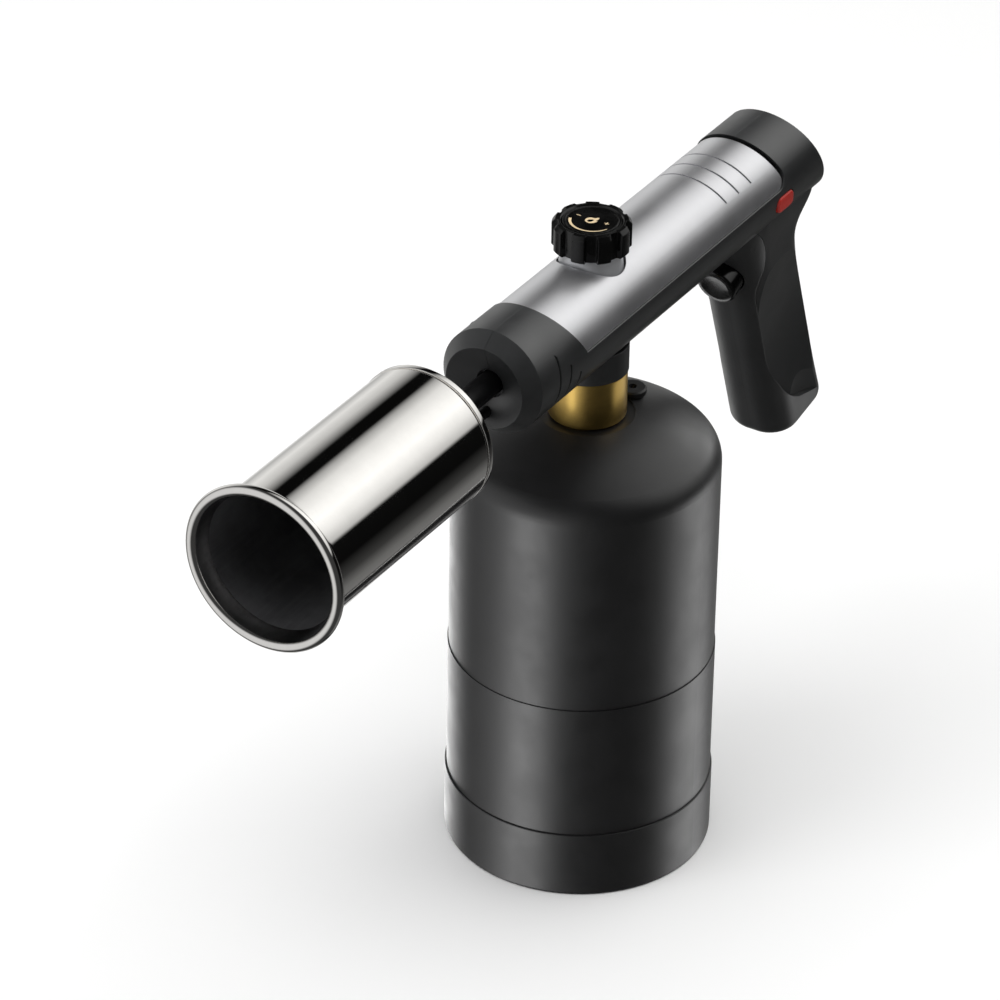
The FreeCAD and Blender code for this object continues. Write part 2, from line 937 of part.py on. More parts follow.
def lock_prism(name, grow, start, stop):
    """Rounded bar across the right-hand wall in the shape of the lock button."""
    half_long = D["lock_long"] * 0.5 + grow
    half_high = D["lock_high"] * 0.5 + grow
    outline = [
        (D["lock_y"] + corner[0], D["lock_z"] + corner[1], *corner[2:])
        for corner in rounded_box(half_long, half_high, 2.4 + grow)
    ]
    start = as_size(start)
    return lifted_prism(name, "YZ_Plane", outline, start, as_size(stop) - start)


def make_lock_button():
    """Red push button in the right-hand wall, with its return spring."""
    face = lock_prism("lock_face", 0, 12, D["lock_face"])
    flange = lock_prism("lock_flange", 1.2, 12, 13.4)
    keep("lock_button", fuse("lock_body", face, flange))
    spring = coil("lock_coil", 1.9, 0.35, 6.9, 5, (5.05, D["lock_y"], D["lock_z"]), RIGHT)
    keep("lock_spring", spring)


# ------------------------------------------------------------------ housing
def slanted(seam, slope, z):
    """Y of a slanted seam at a height, from its Y at the crest."""
    return seam + (D["crest_height"] - z) * slope


def shell_prism(name, edge, front_shift, rear_shift, corner):
    """Side outline of the top shell or of the room cut for it."""
    high = 252
    edge = as_size(edge)
    rear_low = slanted(D["rear_seam"], D["rear_slope"], edge) + rear_shift
    rear_high = slanted(D["rear_seam"], D["rear_slope"], as_size(high)) + rear_shift
    lean = math.atan(D["rear_slope"].number)
    setback = corner / math.tan((math.pi / 2 - lean) / 2)
    outline = [
        (slanted(D["front_seam"], D["front_slope"], edge) - front_shift, edge),
        (rear_low - setback, edge, corner),
        (rear_low - setback * math.sin(lean), edge + setback * math.cos(lean)),
        (rear_high, high),
        (slanted(D["front_seam"], D["front_slope"], as_size(high)) - front_shift, high),
    ]
    return side_prism(name, outline, 60)


def spine_ring(name, inner, outer, start, stop):
    """Hollow cylinder along the spine between two stations."""
    outline = [
        (inner, start),
        (outer, start),
        (outer, stop),
        (inner, stop),
    ]
    return on_spine(turned(name, outline))


def make_top_shell():
    """Silver cover: three quarters of the spine's crown with fine grooves and a valve hole."""
    wall = spine_ring("shell_wall", D["shell_inner"], D["shell_outer"], -125, 65)
    trim = shell_prism("shell_trim", D["shell_edge"], 0, 0, 3.5)
    blank = common("shell_blank", wall, trim)
    hole = rod("shell_hole", D["boss_foot"] + 0.05, 30, (0, 0, 228))
    groove_ring = spine_ring("shell_groove_ring", D["shell_outer"] - 0.8, 21, -125, 65)
    bars = []
    for index, crest in enumerate((67, 76, 85)):
        low = as_size(235.6)
        high = as_size(247)
        outline = [
            (slanted(as_size(crest - 0.45), 0.33, low), low),
            (slanted(as_size(crest + 0.45), 0.33, low), low),
            (slanted(as_size(crest + 0.45), 0.33, high), high),
            (slanted(as_size(crest - 0.45), 0.33, high), high),
        ]
        bars.append(side_prism(f"shell_bar_{index}", outline, 50))
    grooves = common("shell_grooves", fuse("shell_bars", *bars), groove_ring)
    keep("top_shell", cut("shell_done", blank, hole, grooves))


def make_shell_gasket():
    """Black strip that lies in the gap between the top shell and the rear cap."""
    wall = spine_ring("gasket_wall", D["cavity_radius"] - 1.4, D["shell_outer"] - 0.9, -125, 0)
    room = shell_prism("gasket_room", D["shell_edge"] - 0.15, 0, D["rear_gap"], 5)
    cover = shell_prism("gasket_cover", D["shell_edge"] - 0.15, 5, 0.05, 3.5)
    strip = cut("gasket_strip", room, cover)
    keep("shell_gasket", common("gasket_done", wall, strip))


# height, how far the back stands out behind the straight line, half width
GRIP_SECTIONS = (
    (125.0, 0.0, 14.0),
    (150.0, 0.0, 14.0),
    (172.0, 0.0, 14.0),
    (184.0, 0.1, 14.1),
    (194.0, 1.0, 14.6),
    (201.0, 3.8, 15.4),
    (207.0, 9.5, 16.4),
    (214.0, 15.0, 17.2),
)


def grip_solid(name, inset, foot):
    """Leaning grip, flared into the spine, inset all round from its outside."""
    body = doc.addObject("PartDesign::Body", name)
    sketches = []
    sections = ((foot, 0.0, GRIP_SECTIONS[0][2]),) + GRIP_SECTIONS
    for index, (level, swell, half) in enumerate(sections):
        level = as_size(level)
        reach = inset * 1.06
        front = D["grip_front"] + (D["grip_level"] - level) * D["grip_slope"] + reach
        back = D["grip_back"] + (D["grip_level"] - level) * D["grip_slope"] + swell - reach
        middle = (front + back) * 0.5
        deep = (back - front) * 0.5
        corner = D["grip_corner"] - inset
        outline = [
            (corner_point[0], middle + corner_point[1], *corner_point[2:])
            for corner_point in rounded_box(half - inset, deep, corner)
        ]
        sketch = draw_outline(body, f"{name}_level_{index}", "XY_Plane", outline, offset=level)
        sketches.append(sketch)
    loft = body.newObject("PartDesign::AdditiveLoft", f"{name}_loft")
    loft.Profile = sketches[0]
    loft.Sections = sketches[1:]
    return body


def grip_foot(blank):
    """Tilt the foot of the grip up towards the rear and round its edge."""
    front = D["grip_front"] + (D["grip_level"] - D["grip_base"]) * D["grip_slope"]
    rear = as_size(190)
    below = side_prism(
        "grip_foot_cut",
        [
            (front - 20, 90),
            (rear, 90),
            (rear, D["grip_base"] + (rear - front) * D["grip_foot_slope"]),
            (front - 20, D["grip_base"] - D["grip_foot_slope"] * 20),
        ],
        60,
    )
    trimmed = cut("grip_trimmed", blank, below)
    doc.recompute()
    foot = min(trimmed.Shape.Faces, key=lambda face: face.CenterOfMass.z)
    rims = [edge.hashCode() for edge in foot.Edges]
    rounded = doc.addObject("Part::Fillet", "grip_outside")
    rounded.Base = trimmed
    radius = D["grip_foot_round"].number
    rounded.Edges = [
        (index + 1, radius, radius)
        for index, edge in enumerate(trimmed.Shape.Edges)
        if edge.hashCode() in rims
    ]
    return rounded


def rear_prism(name, shift):
    """Everything behind the slanted face of the rear cap."""
    high = as_size(262)
    low = as_size(192)
    outline = [
        (slanted(D["cap_face"], D["cap_slope"], high) - shift, high),
        (slanted(D["cap_face"], D["cap_slope"], low) - shift, low),
        (190, low),
        (190, high),
    ]
    return side_prism(name, outline, 60)


def front_zone(name, grow):
    """Side outline of the grip's front cover: arch, throat and chin."""
    outline = [
        (60, 90),
        (190, 90),
        (190, 116.6 + grow),
        (154, 115.5 + grow),
        (139, 119 + grow, -27),
        (124 + grow, 130.6, -50),
        (116 + grow, 144.5),
        (104.6 + grow, 177, -30),
        (104 + grow, 190, 22),
        (100.5 + grow, 203.5 + grow, 24),
        (86, 215.5 + grow, 9),
        (77, 213 + grow),
        (60, 180),
    ]
    return side_prism(name, outline, 60)


def screw_spots():
    """Where the halves are screwed together, as (y, z)."""
    return (
        (-55.0, 235.2),
        (62.0, 208.6),
        (122.0, 232.0),
        (131.0, 163.0),
        (146.5, 124.0),
    )


def make_housing():
    """Clamshell halves and the front cover, cut from one hollow form."""
    spine = on_spine(
        turned(
            "spine_outside",
            [
                (0, -150),
                (D["housing_radius"], -150),
                (D["housing_radius"], D["nose_edge"]),
                (D["nose_inner"], D["nose_front"]),
                (D["stem_hole"], D["nose_dish"]),
                (0, D["nose_dish"]),
            ],
        )
    )
    grip = grip_foot(grip_solid("grip_blank", 0.0, D["grip_base"] - 2))
    whole = fuse("housing_whole", spine, grip)
    outside = cut("housing_outside", whole, rear_prism("cap_cut", 0))

    back_wall = D["nose_dish"] - D["nose_wall"]
    spine_room = on_spine(
        turned(
            "spine_inside",
            [
                (0, -150),
                (D["cavity_radius"], -150),
                (D["cavity_radius"], 60),
                (13, back_wall),
                (0, back_wall),
            ],
        )
    )
    grip_room = grip_solid("grip_inside", D["grip_wall"].number, D["grip_base"] + 10)
    room = cut(
        "housing_room",
        fuse("housing_room_raw", spine_room, grip_room),
        rear_prism("cap_inner_cut", 3.8),
    )
    wall = cut("housing_wall", outside, room)

    posts = [
        common(
            f"post_{index}",
            rod(f"post_rod_{index}", 3, 44, (-22, y, z), RIGHT),
            outside,
        )
        for index, (y, z) in enumerate(screw_spots())
    ]
    spring_post = common(
        "spring_post",
        rod("spring_post_rod", 3.4, 27, (-22, D["lock_y"], D["lock_z"]), RIGHT),
        outside,
    )
    full = fuse("housing_full", wall, *posts)

    neck_hole = rod("neck_hole", D["neck_radius"] + 0.1, 20, (0, 0, 196))
    nose_hole = rod("nose_hole", D["stem_hole"], 20, (0, -55, D["axis_height"]), FORWARD)
    lead_hole = rod(
        "lead_hole",
        D["lead_radius"] + 0.1,
        20,
        (0, -55, D["axis_height"] - D["lead_drop"]),
        FORWARD,
    )
    shell_room = shell_prism("shell_room", D["shell_edge"] - 0.15, 0.12, D["rear_gap"], 5)
    lock_hole = lock_prism("lock_hole", 0.35, 13.9, 26)
    lock_pocket = lock_prism("lock_pocket", 1.7, 9, 16.6)
    inside = trigger_point(-20)
    trigger_hole = rod("trigger_hole", D["trigger_radius"] + 0.35, 50, inside, TRIGGER_OUT)
    flange_room = rod("flange_room", 9.7, 16, inside, TRIGGER_OUT)
    igniter_room = rod("igniter_room", 6.4, 13, trigger_point(-31.3), TRIGGER_OUT)
    scoops = [
        ball(f"scoop_{side}", 17.0, (side * 25.2, 86, 197.5)) for side in (-1, 1)
    ]
    side_ring = spine_ring("collar_ring_room", D["housing_radius"] - 0.6, 22, 30, 60)
    side_band = side_prism(
        "collar_band",
        [
            (-54.2, 234.6),
            (-54.2, 208.5),
            (-37, 208.5),
            (-37, 219.8),
        ],
        60,
    )
    slits = [
        spine_ring(f"slit_{index}", D["housing_radius"] - 1.4, 23, station - 0.6, station + 0.6)
        for index, station in enumerate((52.9, 45.8, 38.8))
    ]
    slit_cuts = common(
        "collar_slits",
        common("collar_side", side_ring, side_band),
        fuse("collar_rings", *slits),
    )
    pierced = cut(
        "housing_pierced",
        full,
        neck_hole,
        nose_hole,
        lead_hole,
        shell_room,
        lock_hole,
        lock_pocket,
        trigger_hole,
        flange_room,
        igniter_room,
        slit_cuts,
        *scoops,
    )

    cover = common("cover_blank", pierced, front_zone("cover_zone", 0))
    keep("grip_front_cover", cover)

    halves = cut("halves_blank", pierced, front_zone("cover_room", 0.12))
    grooved = cut("halves_grooved", halves, *thumb_grooves())
    shanks = []
    heads = []
    for index, (y, z) in enumerate(screw_spots()):
        reach = screw_reach(z)
        shanks.append(rod(f"shank_room_{index}", 1.25, reach + 7, (-reach, y, z), RIGHT))
        heads.append(rod(f"head_room_{index}", 2.9, 30, (-reach - 30, y, z), RIGHT))
    drilled = cut("halves_drilled", grooved, *shanks, *heads)
    for node, low in (("housing_left", -60), ("housing_right", 0)):
        block = doc.addObject("Part::Box", f"{node}_block")
        bind(block, "Length", 60)
        bind(block, "Width", 400)
        bind(block, "Height", 400)
        place(block, (low, -200, 0))
        half = common(f"{node}_solid", drilled, block)
        if low < 0:
            half = fuse(f"{node}_post", half, spring_post)
        keep(node, half)


def ball(name, radius, centre):
    """Plain sphere at a point."""
    sphere = doc.addObject("Part::Sphere", name)
    bind(sphere, "Radius", radius)
    return place(sphere, centre)


def thumb_grooves():
    """Hollows in the sides of the grip: a long groove and a broad, shallow dish over it."""
    groove_radius = 24.0
    groove_depth = 2.8
    dish_radius = 140.0
    dish_depth = 5.2
    half_width = GRIP_SECTIONS[0][2]
    hollows = []
    for side in (-1, 1):
        axis = FreeCAD.Vector(side * 0.035, -math.sin(GRIP_LEAN), math.cos(GRIP_LEAN))
        groove_foot = (side * (half_width - groove_depth + groove_radius), 144.0, 108.0)
        hollows.append(rod(f"thumb_groove_{side}", groove_radius, 86, groove_foot, axis.normalize()))
        dish_centre = (side * (half_width - dish_depth + dish_radius), 121.0, 152.0)
        hollows.append(ball(f"thumb_dish_{side}", dish_radius, dish_centre))
    return hollows


def screw_reach(z):
    """Distance from the middle plane to the seat of a screw head at a height."""
    if z < 200:
        return 6.9
    half = math.sqrt(D["housing_radius"].number ** 2 - (z - D["axis_height"].number) ** 2)
    return half - 3.4


def make_screws():
    """Five screws that hold the halves together, heads on the left."""
    screws = []
    for index, (y, z) in enumerate(screw_spots()):
        reach = screw_reach(z)
        shank = rod(f"screw_shank_{index}", 1.25, reach + 6, (-reach, y, z), RIGHT)
        head = rod(f"screw_head_{index}", 2.6, 1.7, (-reach - 1.7, y, z), RIGHT)
        slot = doc.addObject("Part::Box", f"screw_slot_{index}")
        bind(slot, "Length", 0.9)
        bind(slot, "Width", 3.2)
        bind(slot, "Height", 0.8)
        place(slot, (-reach - 1.8, y - 1.6, z - 0.4))
        cross = doc.addObject("Part::Box", f"screw_cross_{index}")
        bind(cross, "Length", 0.9)
        bind(cross, "Width", 0.8)
        bind(cross, "Height", 3.2)
        place(cross, (-reach - 1.8, y - 0.4, z - 1.6))
        blank = fuse(f"screw_blank_{index}", shank, head)
        screws.append(cut(f"screw_{index}", blank, slot, cross))
    keep("housing_screws", fuse("screw_set", *screws))


# ------------------------------------------------------------------ build, check, write
def check_everything():
    """Stop if any object failed or any sub-part is empty or broken."""
    for thing in doc.Objects:
        if "Invalid" in thing.State or "Error" in thing.State:
            raise RuntimeError(f"{thing.Label} failed: {thing.State}")
    for node, thing in NODES.items():
        if thing.Shape.isNull() or not thing.Shape.isValid():
            raise RuntimeError(f"{node} has no valid shape")
        if not thing.Shape.Solids:
            raise RuntimeError(f"{node} has no solid")


def write_parts():
    """One STEP file per sub-part, named after its node."""
    os.makedirs("parts", exist_ok=True)
    for node, thing in NODES.items():
        thing.Shape.exportStep(os.path.join("parts", f"{node}.step"))
        print(node, len(thing.Shape.Solids), "solid(s)", round(thing.Shape.Volume, 1))


make_cylinder_shell()
make_cylinder_trim()
make_cylinder_valve()
make_relief_valve()
make_coupling()
make_valve_body()
make_valve_inside()
make_knob_boss()
make_knob()
make_gas_path()
make_burner_head()
make_burner_back()
make_burner_tube()
make_igniter_lead()
make_electrode()
make_trigger()
make_lock_button()
make_top_shell()
make_shell_gasket()
make_housing()
make_screws()
doc.recompute()
check_everything()
write_parts()
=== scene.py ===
"""Looks of a hand-held propane torch on its gas bottle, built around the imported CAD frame."""
import json
import math

import bpy
from mathutils import Matrix, Vector

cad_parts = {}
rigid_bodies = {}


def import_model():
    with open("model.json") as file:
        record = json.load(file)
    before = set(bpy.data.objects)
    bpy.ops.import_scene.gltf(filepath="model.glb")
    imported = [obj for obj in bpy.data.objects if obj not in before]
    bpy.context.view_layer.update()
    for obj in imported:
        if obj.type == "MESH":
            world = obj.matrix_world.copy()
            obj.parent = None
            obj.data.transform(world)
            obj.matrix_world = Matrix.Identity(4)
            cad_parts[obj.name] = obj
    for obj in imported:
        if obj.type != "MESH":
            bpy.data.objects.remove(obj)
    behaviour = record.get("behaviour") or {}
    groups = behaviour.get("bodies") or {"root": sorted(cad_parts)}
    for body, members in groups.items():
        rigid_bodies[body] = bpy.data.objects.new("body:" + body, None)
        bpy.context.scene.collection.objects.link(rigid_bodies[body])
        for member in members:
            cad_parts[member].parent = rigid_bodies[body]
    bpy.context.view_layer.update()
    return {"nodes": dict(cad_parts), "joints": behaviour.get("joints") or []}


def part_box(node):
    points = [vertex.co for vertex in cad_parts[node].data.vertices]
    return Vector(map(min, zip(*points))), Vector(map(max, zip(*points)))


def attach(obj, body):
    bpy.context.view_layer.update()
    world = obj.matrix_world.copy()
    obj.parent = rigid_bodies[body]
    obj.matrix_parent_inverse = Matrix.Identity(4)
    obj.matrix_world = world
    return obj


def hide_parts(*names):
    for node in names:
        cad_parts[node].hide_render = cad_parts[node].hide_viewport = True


bl_info = {
    "name": "Propane torch",
    "version": (1, 0, 0),
    "blender": (4, 5, 0),
    "location": "3D View > Sidebar > Torch",
    "description": "Models the finished pieces and finishes of a propane torch",
    "category": "Object",
}

for leftover in list(bpy.data.objects):
    bpy.data.objects.remove(leftover)
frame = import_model()
NODES = frame["nodes"]
MM = 0.001
FORWARD = (0, -1, 0)


# ------------------------------------------------------------------ small helpers
def linear(hex_colour):
    """Turn an sRGB hex colour into the linear RGBA that shaders take."""
    parts = [int(hex_colour[i : i + 2], 16) / 255 for i in (1, 3, 5)]
    return (*[p / 12.92 if p <= 0.04045 else ((p + 0.055) / 1.055) ** 2.4 for p in parts], 1.0)


def toned(colour, factor):
    """The same colour, darker or lighter."""
    return (*[min(channel * factor, 1.0) for channel in colour[:3]], 1.0)


def joint(name):
    """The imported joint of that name."""
    return next(j for j in frame["joints"] if j["name"] == name)


def on_circle(centre, radius, start, stop, count):
    """Points of an arc as (radius, height), with angles in degrees."""
    angles = [math.radians(start + (stop - start) * i / count) for i in range(count + 1)]
    return [(centre[0] + radius * math.cos(a), centre[1] + radius * math.sin(a)) for a in angles]


def deselect():
    """Leave nothing selected."""
    bpy.ops.object.select_all(action="DESELECT")


def finish_mesh(piece, name, angle=30.0):
    """Put the piece's place into its mesh, name it and shade it smooth."""
    deselect()
    piece.select_set(True)
    bpy.context.view_layer.objects.active = piece
    bpy.ops.object.transform_apply(location=True, rotation=True, scale=True)
    bpy.ops.object.shade_smooth_by_angle(angle=math.radians(angle))
    piece.name = name
    piece.data.name = name
    return piece


def apply_bevel(piece, width, segments=3, angle=35.0):
    """Round the sharp edges of a piece."""
    bevel = piece.modifiers.new("soft_edges", "BEVEL")
    bevel.width = width * MM
    bevel.segments = segments
    bevel.limit_method = "ANGLE"
    bevel.angle_limit = math.radians(angle)
    deselect()
    piece.select_set(True)
    bpy.context.view_layer.objects.active = piece
    bpy.ops.object.modifier_apply(modifier=bevel.name)
    return piece


def turned(name, profile, centre, axis, steps=192, closed=True):
    """Spin a profile of (radius, height) corners in mm about an axis, as on a lathe."""
    axis = Vector(axis).normalized()
    across = axis.cross(Vector((1, 0, 0)) if abs(axis.x) < 0.9 else Vector((0, 0, 1))).normalized()
    corners = [Vector(centre) + (across * r + axis * h) * MM for r, h in profile]
    if closed:
        corners.append(corners[0])
    deselect()
    bpy.ops.mesh.primitive_plane_add(size=MM, location=corners[0])
    piece = bpy.context.object
    bpy.ops.object.mode_set(mode="EDIT")
    bpy.ops.mesh.select_all(action="SELECT")
    bpy.ops.mesh.merge(type="CENTER")
    for before, after in zip(corners, corners[1:]):
        bpy.ops.mesh.extrude_region_move(TRANSFORM_OT_translate={"value": after - before})
    bpy.ops.mesh.select_all(action="SELECT")
    bpy.ops.mesh.spin(steps=steps, angle=math.tau, center=Vector(centre), axis=axis)
    bpy.ops.mesh.select_all(action="SELECT")
    bpy.ops.mesh.remove_doubles(threshold=0.0005 * MM)
    bpy.ops.mesh.normals_make_consistent(inside=False)
    bpy.ops.object.mode_set(mode="OBJECT")
    return finish_mesh(piece, name)


def dress(piece, body, slot, finish, *nodes):
    """Give a new piece its finish, its body and the CAD nodes that it stands for."""
    piece.data.materials.clear()
    piece.data.materials.append(finish)
    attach(piece, body)
    if nodes:
        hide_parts(*nodes)
    return piece


def paint(finish, *nodes):
    """Give CAD nodes a finish."""
    for name in nodes:
        for slot in NODES[name].material_slots:
            slot.material = finish


# ------------------------------------------------------------------ finishes
def add(tree, kind, links=None, **settings):
    """Add a shader node with its settings; links sets or joins its inputs."""
    made = tree.nodes.new(kind)
    for key, value in settings.items():
        setattr(made, key, value)
    for key, value in (links or {}).items():
        if isinstance(value, bpy.types.NodeSocket):
            tree.links.new(value, made.inputs[key])
        else:
            made.inputs[key].default_value = value
    return made


def ramp_between(tree, value, low, high, out_low, out_high):
    """Map a value from one range to another, smoothly and clamped."""
    links = {0: value, 1: low, 2: high, 3: out_low, 4: out_high}
    return add(tree, "ShaderNodeMapRange", links, interpolation_type="SMOOTHSTEP").outputs[0]


def surface(
    name,
    colour,
    metallic=0.0,
    roughness=(0.4, 0.5),
    spread=0.08,
    patch=14.0,
    grain=0.3,
    relief=0.01,
    stretch=(1.0, 1.0, 1.0),
    edge=0.35,
    wear=0.35,
    seam=0.0,
    sockets=None,
):
    """A finish with patchy tone, uneven polish, fine grain and lightly worn edges; sizes in mm."""
    material = bpy.data.materials.new(name)
    material.use_nodes = True
    tree = material.node_tree
    tree.nodes.clear()
    place = add(tree, "ShaderNodeTexCoord").outputs["Object"]
    patches = add(
        tree,
        "ShaderNodeTexNoise",
        {"Vector": place, "Scale": 1 / (patch * MM), "Detail": 5.0, "Roughness": 0.6},
    ).outputs[0]
    pulled = add(tree, "ShaderNodeMapping", {"Vector": place, "Scale": stretch}).outputs[0]
    grains = add(
        tree,
        "ShaderNodeTexNoise",
        {"Vector": pulled, "Scale": 1 / (grain * MM), "Detail": 2.0, "Roughness": 0.5},
    ).outputs[0]
    tone = add(
        tree,
        "ShaderNodeMix",
        {
            0: ramp_between(tree, patches, 0.35, 0.65, 0.0, 1.0),
            6: toned(colour, 1 - spread),
            7: toned(colour, 1 + spread),
        },
        data_type="RGBA",
    ).outputs[2]
    speck = add(
        tree,
        "ShaderNodeMix",
        {
            0: ramp_between(tree, grains, 0.45, 0.7, 0.0, spread),
            6: tone,
            7: toned(colour, 1.6),
        },
        data_type="RGBA",
    ).outputs[2]
    rounded = add(tree, "ShaderNodeBevel", {"Radius": edge * MM}, samples=4).outputs[0]
    facing = add(tree, "ShaderNodeNewGeometry").outputs["Normal"]
    sameness = add(
        tree, "ShaderNodeVectorMath", {0: rounded, 1: facing}, operation="DOT_PRODUCT"
    ).outputs["Value"]
    rubbed = ramp_between(tree, sameness, 0.99, 0.82, 0.0, wear)
    tinted = add(
        tree,
        "ShaderNodeMix",
        {0: rubbed, 6: speck, 7: toned(colour, 2.2)},
        data_type="RGBA",
    ).outputs[2]
    if seam:
        split = add(tree, "ShaderNodeSeparateXYZ", {0: place}).outputs["X"]
        aside = add(tree, "ShaderNodeMath", {0: split}, operation="ABSOLUTE").outputs[0]
        closeness = ramp_between(tree, aside, seam * 0.4 * MM, seam * MM, 0.85, 0.0)
        tinted = add(
            tree,
            "ShaderNodeMix",
            {0: closeness, 6: tinted, 7: toned(colour, 0.15)},
            data_type="RGBA",
        ).outputs[2]
    polish = ramp_between(tree, patches, 0.3, 0.7, roughness[0], roughness[1])
    bumped = add(
        tree,
        "ShaderNodeBump",
        {"Height": grains, "Normal": rounded, "Strength": 1.0, "Distance": relief * MM},
    ).outputs[0]
    inputs = {
        "Base Color": tinted,
        "Metallic": metallic,
        "Roughness": polish,
        "Normal": bumped,
        **(sockets or {}),
    }
    shader = add(tree, "ShaderNodeBsdfPrincipled", inputs)
    add(tree, "ShaderNodeOutputMaterial", {"Surface": shader.outputs[0]})
    return material


def powder_coated_steel(colour):
    """Black powder coat on drawn steel: matt, with a fine orange-peel skin."""
    return surface(
        "powder_coated_steel",
        colour,
        roughness=(0.42, 0.48),
        grain=0.55,
        relief=0.01,
        sockets={"Specular IOR Level": 0.8},
    )


def shrink_film(colour):
    """Black shrink film: smoother than the coat above it, with faint drawing lines."""
    return surface(
        "shrink_film",
        colour,
        roughness=(0.4, 0.46),
        grain=0.8,
        relief=0.006,
        stretch=(1, 1, 0.15),
        sockets={"Specular IOR Level": 0.8},
    )


def moulded_polypropylene(colour):
    """Black moulded polypropylene: waxy, a touch lighter on its edges."""
    return surface(
        "moulded_polypropylene",
        colour,
        roughness=(0.4, 0.47),
        grain=0.4,
        wear=0.5,
        sockets={"Specular IOR Level": 0.8},
    )


def textured_abs(colour):
    """Grey ABS from a spark-eroded mould: satin, finely pitted, dark where the halves meet."""
    return surface(
        "textured_abs",
        colour,
        roughness=(0.36, 0.43),
        grain=0.24,
        relief=0.01,
        seam=0.22,
        sockets={"Specular IOR Level": 1.0, "IOR": 1.6},
    )


def gloss_abs(colour):
    """Black ABS from a polished mould: near-mirror, with faint handling haze."""
    return surface(
        "gloss_abs", colour, roughness=(0.1, 0.2), patch=6.0, grain=1.2, relief=0.002, wear=0.8
    )


def red_abs(colour):
    """Red ABS, moulded satin."""
    return surface("red_abs", colour, roughness=(0.3, 0.38), grain=0.25, relief=0.004, wear=0.25)


def satin_aluminium(colour):
    """Bead-blasted, clear-anodised aluminium: soft wide reflections and a very fine sparkle."""
    return surface(
        "satin_aluminium",
        colour,
        metallic=0.94,
        roughness=(0.34, 0.39),
        spread=0.03,
        patch=20.0,
        grain=0.18,
        relief=0.003,
        wear=0.2,
    )


def turned_brass(colour):
    """Brass straight from the lathe: fine rings round the piece, warm and satin."""
    return surface(
        "turned_brass",
        colour,
        metallic=1.0,
        roughness=(0.30, 0.38),
        spread=0.06,
        grain=0.3,
        relief=0.004,
        stretch=(0.01, 0.01, 1.0),
        wear=0.3,
    )


def mirror_chrome(colour):
    """Polished chrome plate on steel: sharp reflections, faint wipe marks in the polish."""
    return surface(
        "mirror_chrome",
        colour,
        metallic=1.0,
        roughness=(0.03, 0.07),
        spread=0.015,
        patch=9.0,
        grain=2.5,
        relief=0.0006,
        stretch=(1.0, 0.15, 1.0),
        edge=0.2,
        wear=0.0,
    )


def heat_stained_steel(colour):
    """Bare steel dulled by flame: dark oxide, streaked along the tube."""
    return surface(
        "heat_stained_steel",
        colour,
        metallic=0.6,
        roughness=(0.36, 0.44),
        spread=0.16,
        patch=16.0,
        grain=1.5,
        relief=0.01,
        stretch=(1.0, 0.06, 1.0),
    )


def blackened_steel(colour):
    """Black-oxide steel tube: dark, oily satin."""
    return surface(
        "blackened_steel", colour, metallic=0.7, roughness=(0.3, 0.42), grain=0.5, relief=0.003
    )


def bright_steel(colour):
    """Zinc-plated steel for screws, pins and springs."""
    return surface(
        "bright_steel", colour, metallic=1.0, roughness=(0.25, 0.36), grain=0.4, relief=0.003
    )


def drawn_copper(colour):
    """Drawn copper tube with faint lengthwise draw lines."""
    return surface(
        "drawn_copper",
        colour,
        metallic=1.0,
        roughness=(0.22, 0.35),
        grain=0.6,
        stretch=(1, 0.05, 1),
    )


def fired_ceramic(colour):
    """Unglazed alumina: chalky white."""
    return surface("fired_ceramic", colour, roughness=(0.55, 0.7), grain=0.2, relief=0.01)


def black_rubber(colour):
    """Moulded nitrile rubber: dull black."""
    return surface("black_rubber", colour, roughness=(0.55, 0.7), grain=0.35, relief=0.01)


def grey_paint(colour):
    """Metallic grey paint on the boss under the knob."""
    return surface(
        "grey_paint",
        colour,
        metallic=0.6,
        roughness=(0.28, 0.36),
        grain=0.2,
        relief=0.003,
        wear=0.3,
    )


def printed_ink(colour):
    """Cream pad-printing ink: flat and slightly chalky."""
    return surface(
        "printed_ink", colour, roughness=(0.45, 0.55), grain=0.15, relief=0.004, wear=0.0
    )


# ------------------------------------------------------------------ what a user may change
def colour_property(label, text, hex_colour):
    """A colour swatch with its default given in sRGB hex."""
    return bpy.props.FloatVectorProperty(
        name=label,
        description=text,
        subtype="COLOR",
        size=4,
        min=0.0,
        max=1.0,
        default=linear(hex_colour),
    )


def length_property(label, text, millimetres):
    """A length with its default given in mm."""
    return bpy.props.FloatProperty(
        name=label, description=text, unit="LENGTH", subtype="DISTANCE", default=millimetres * MM
    )


def half_width(node):
    """Half of a node's width along X, in mm."""
    low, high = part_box(node)
    return (high.x - low.x) / 2 / MM


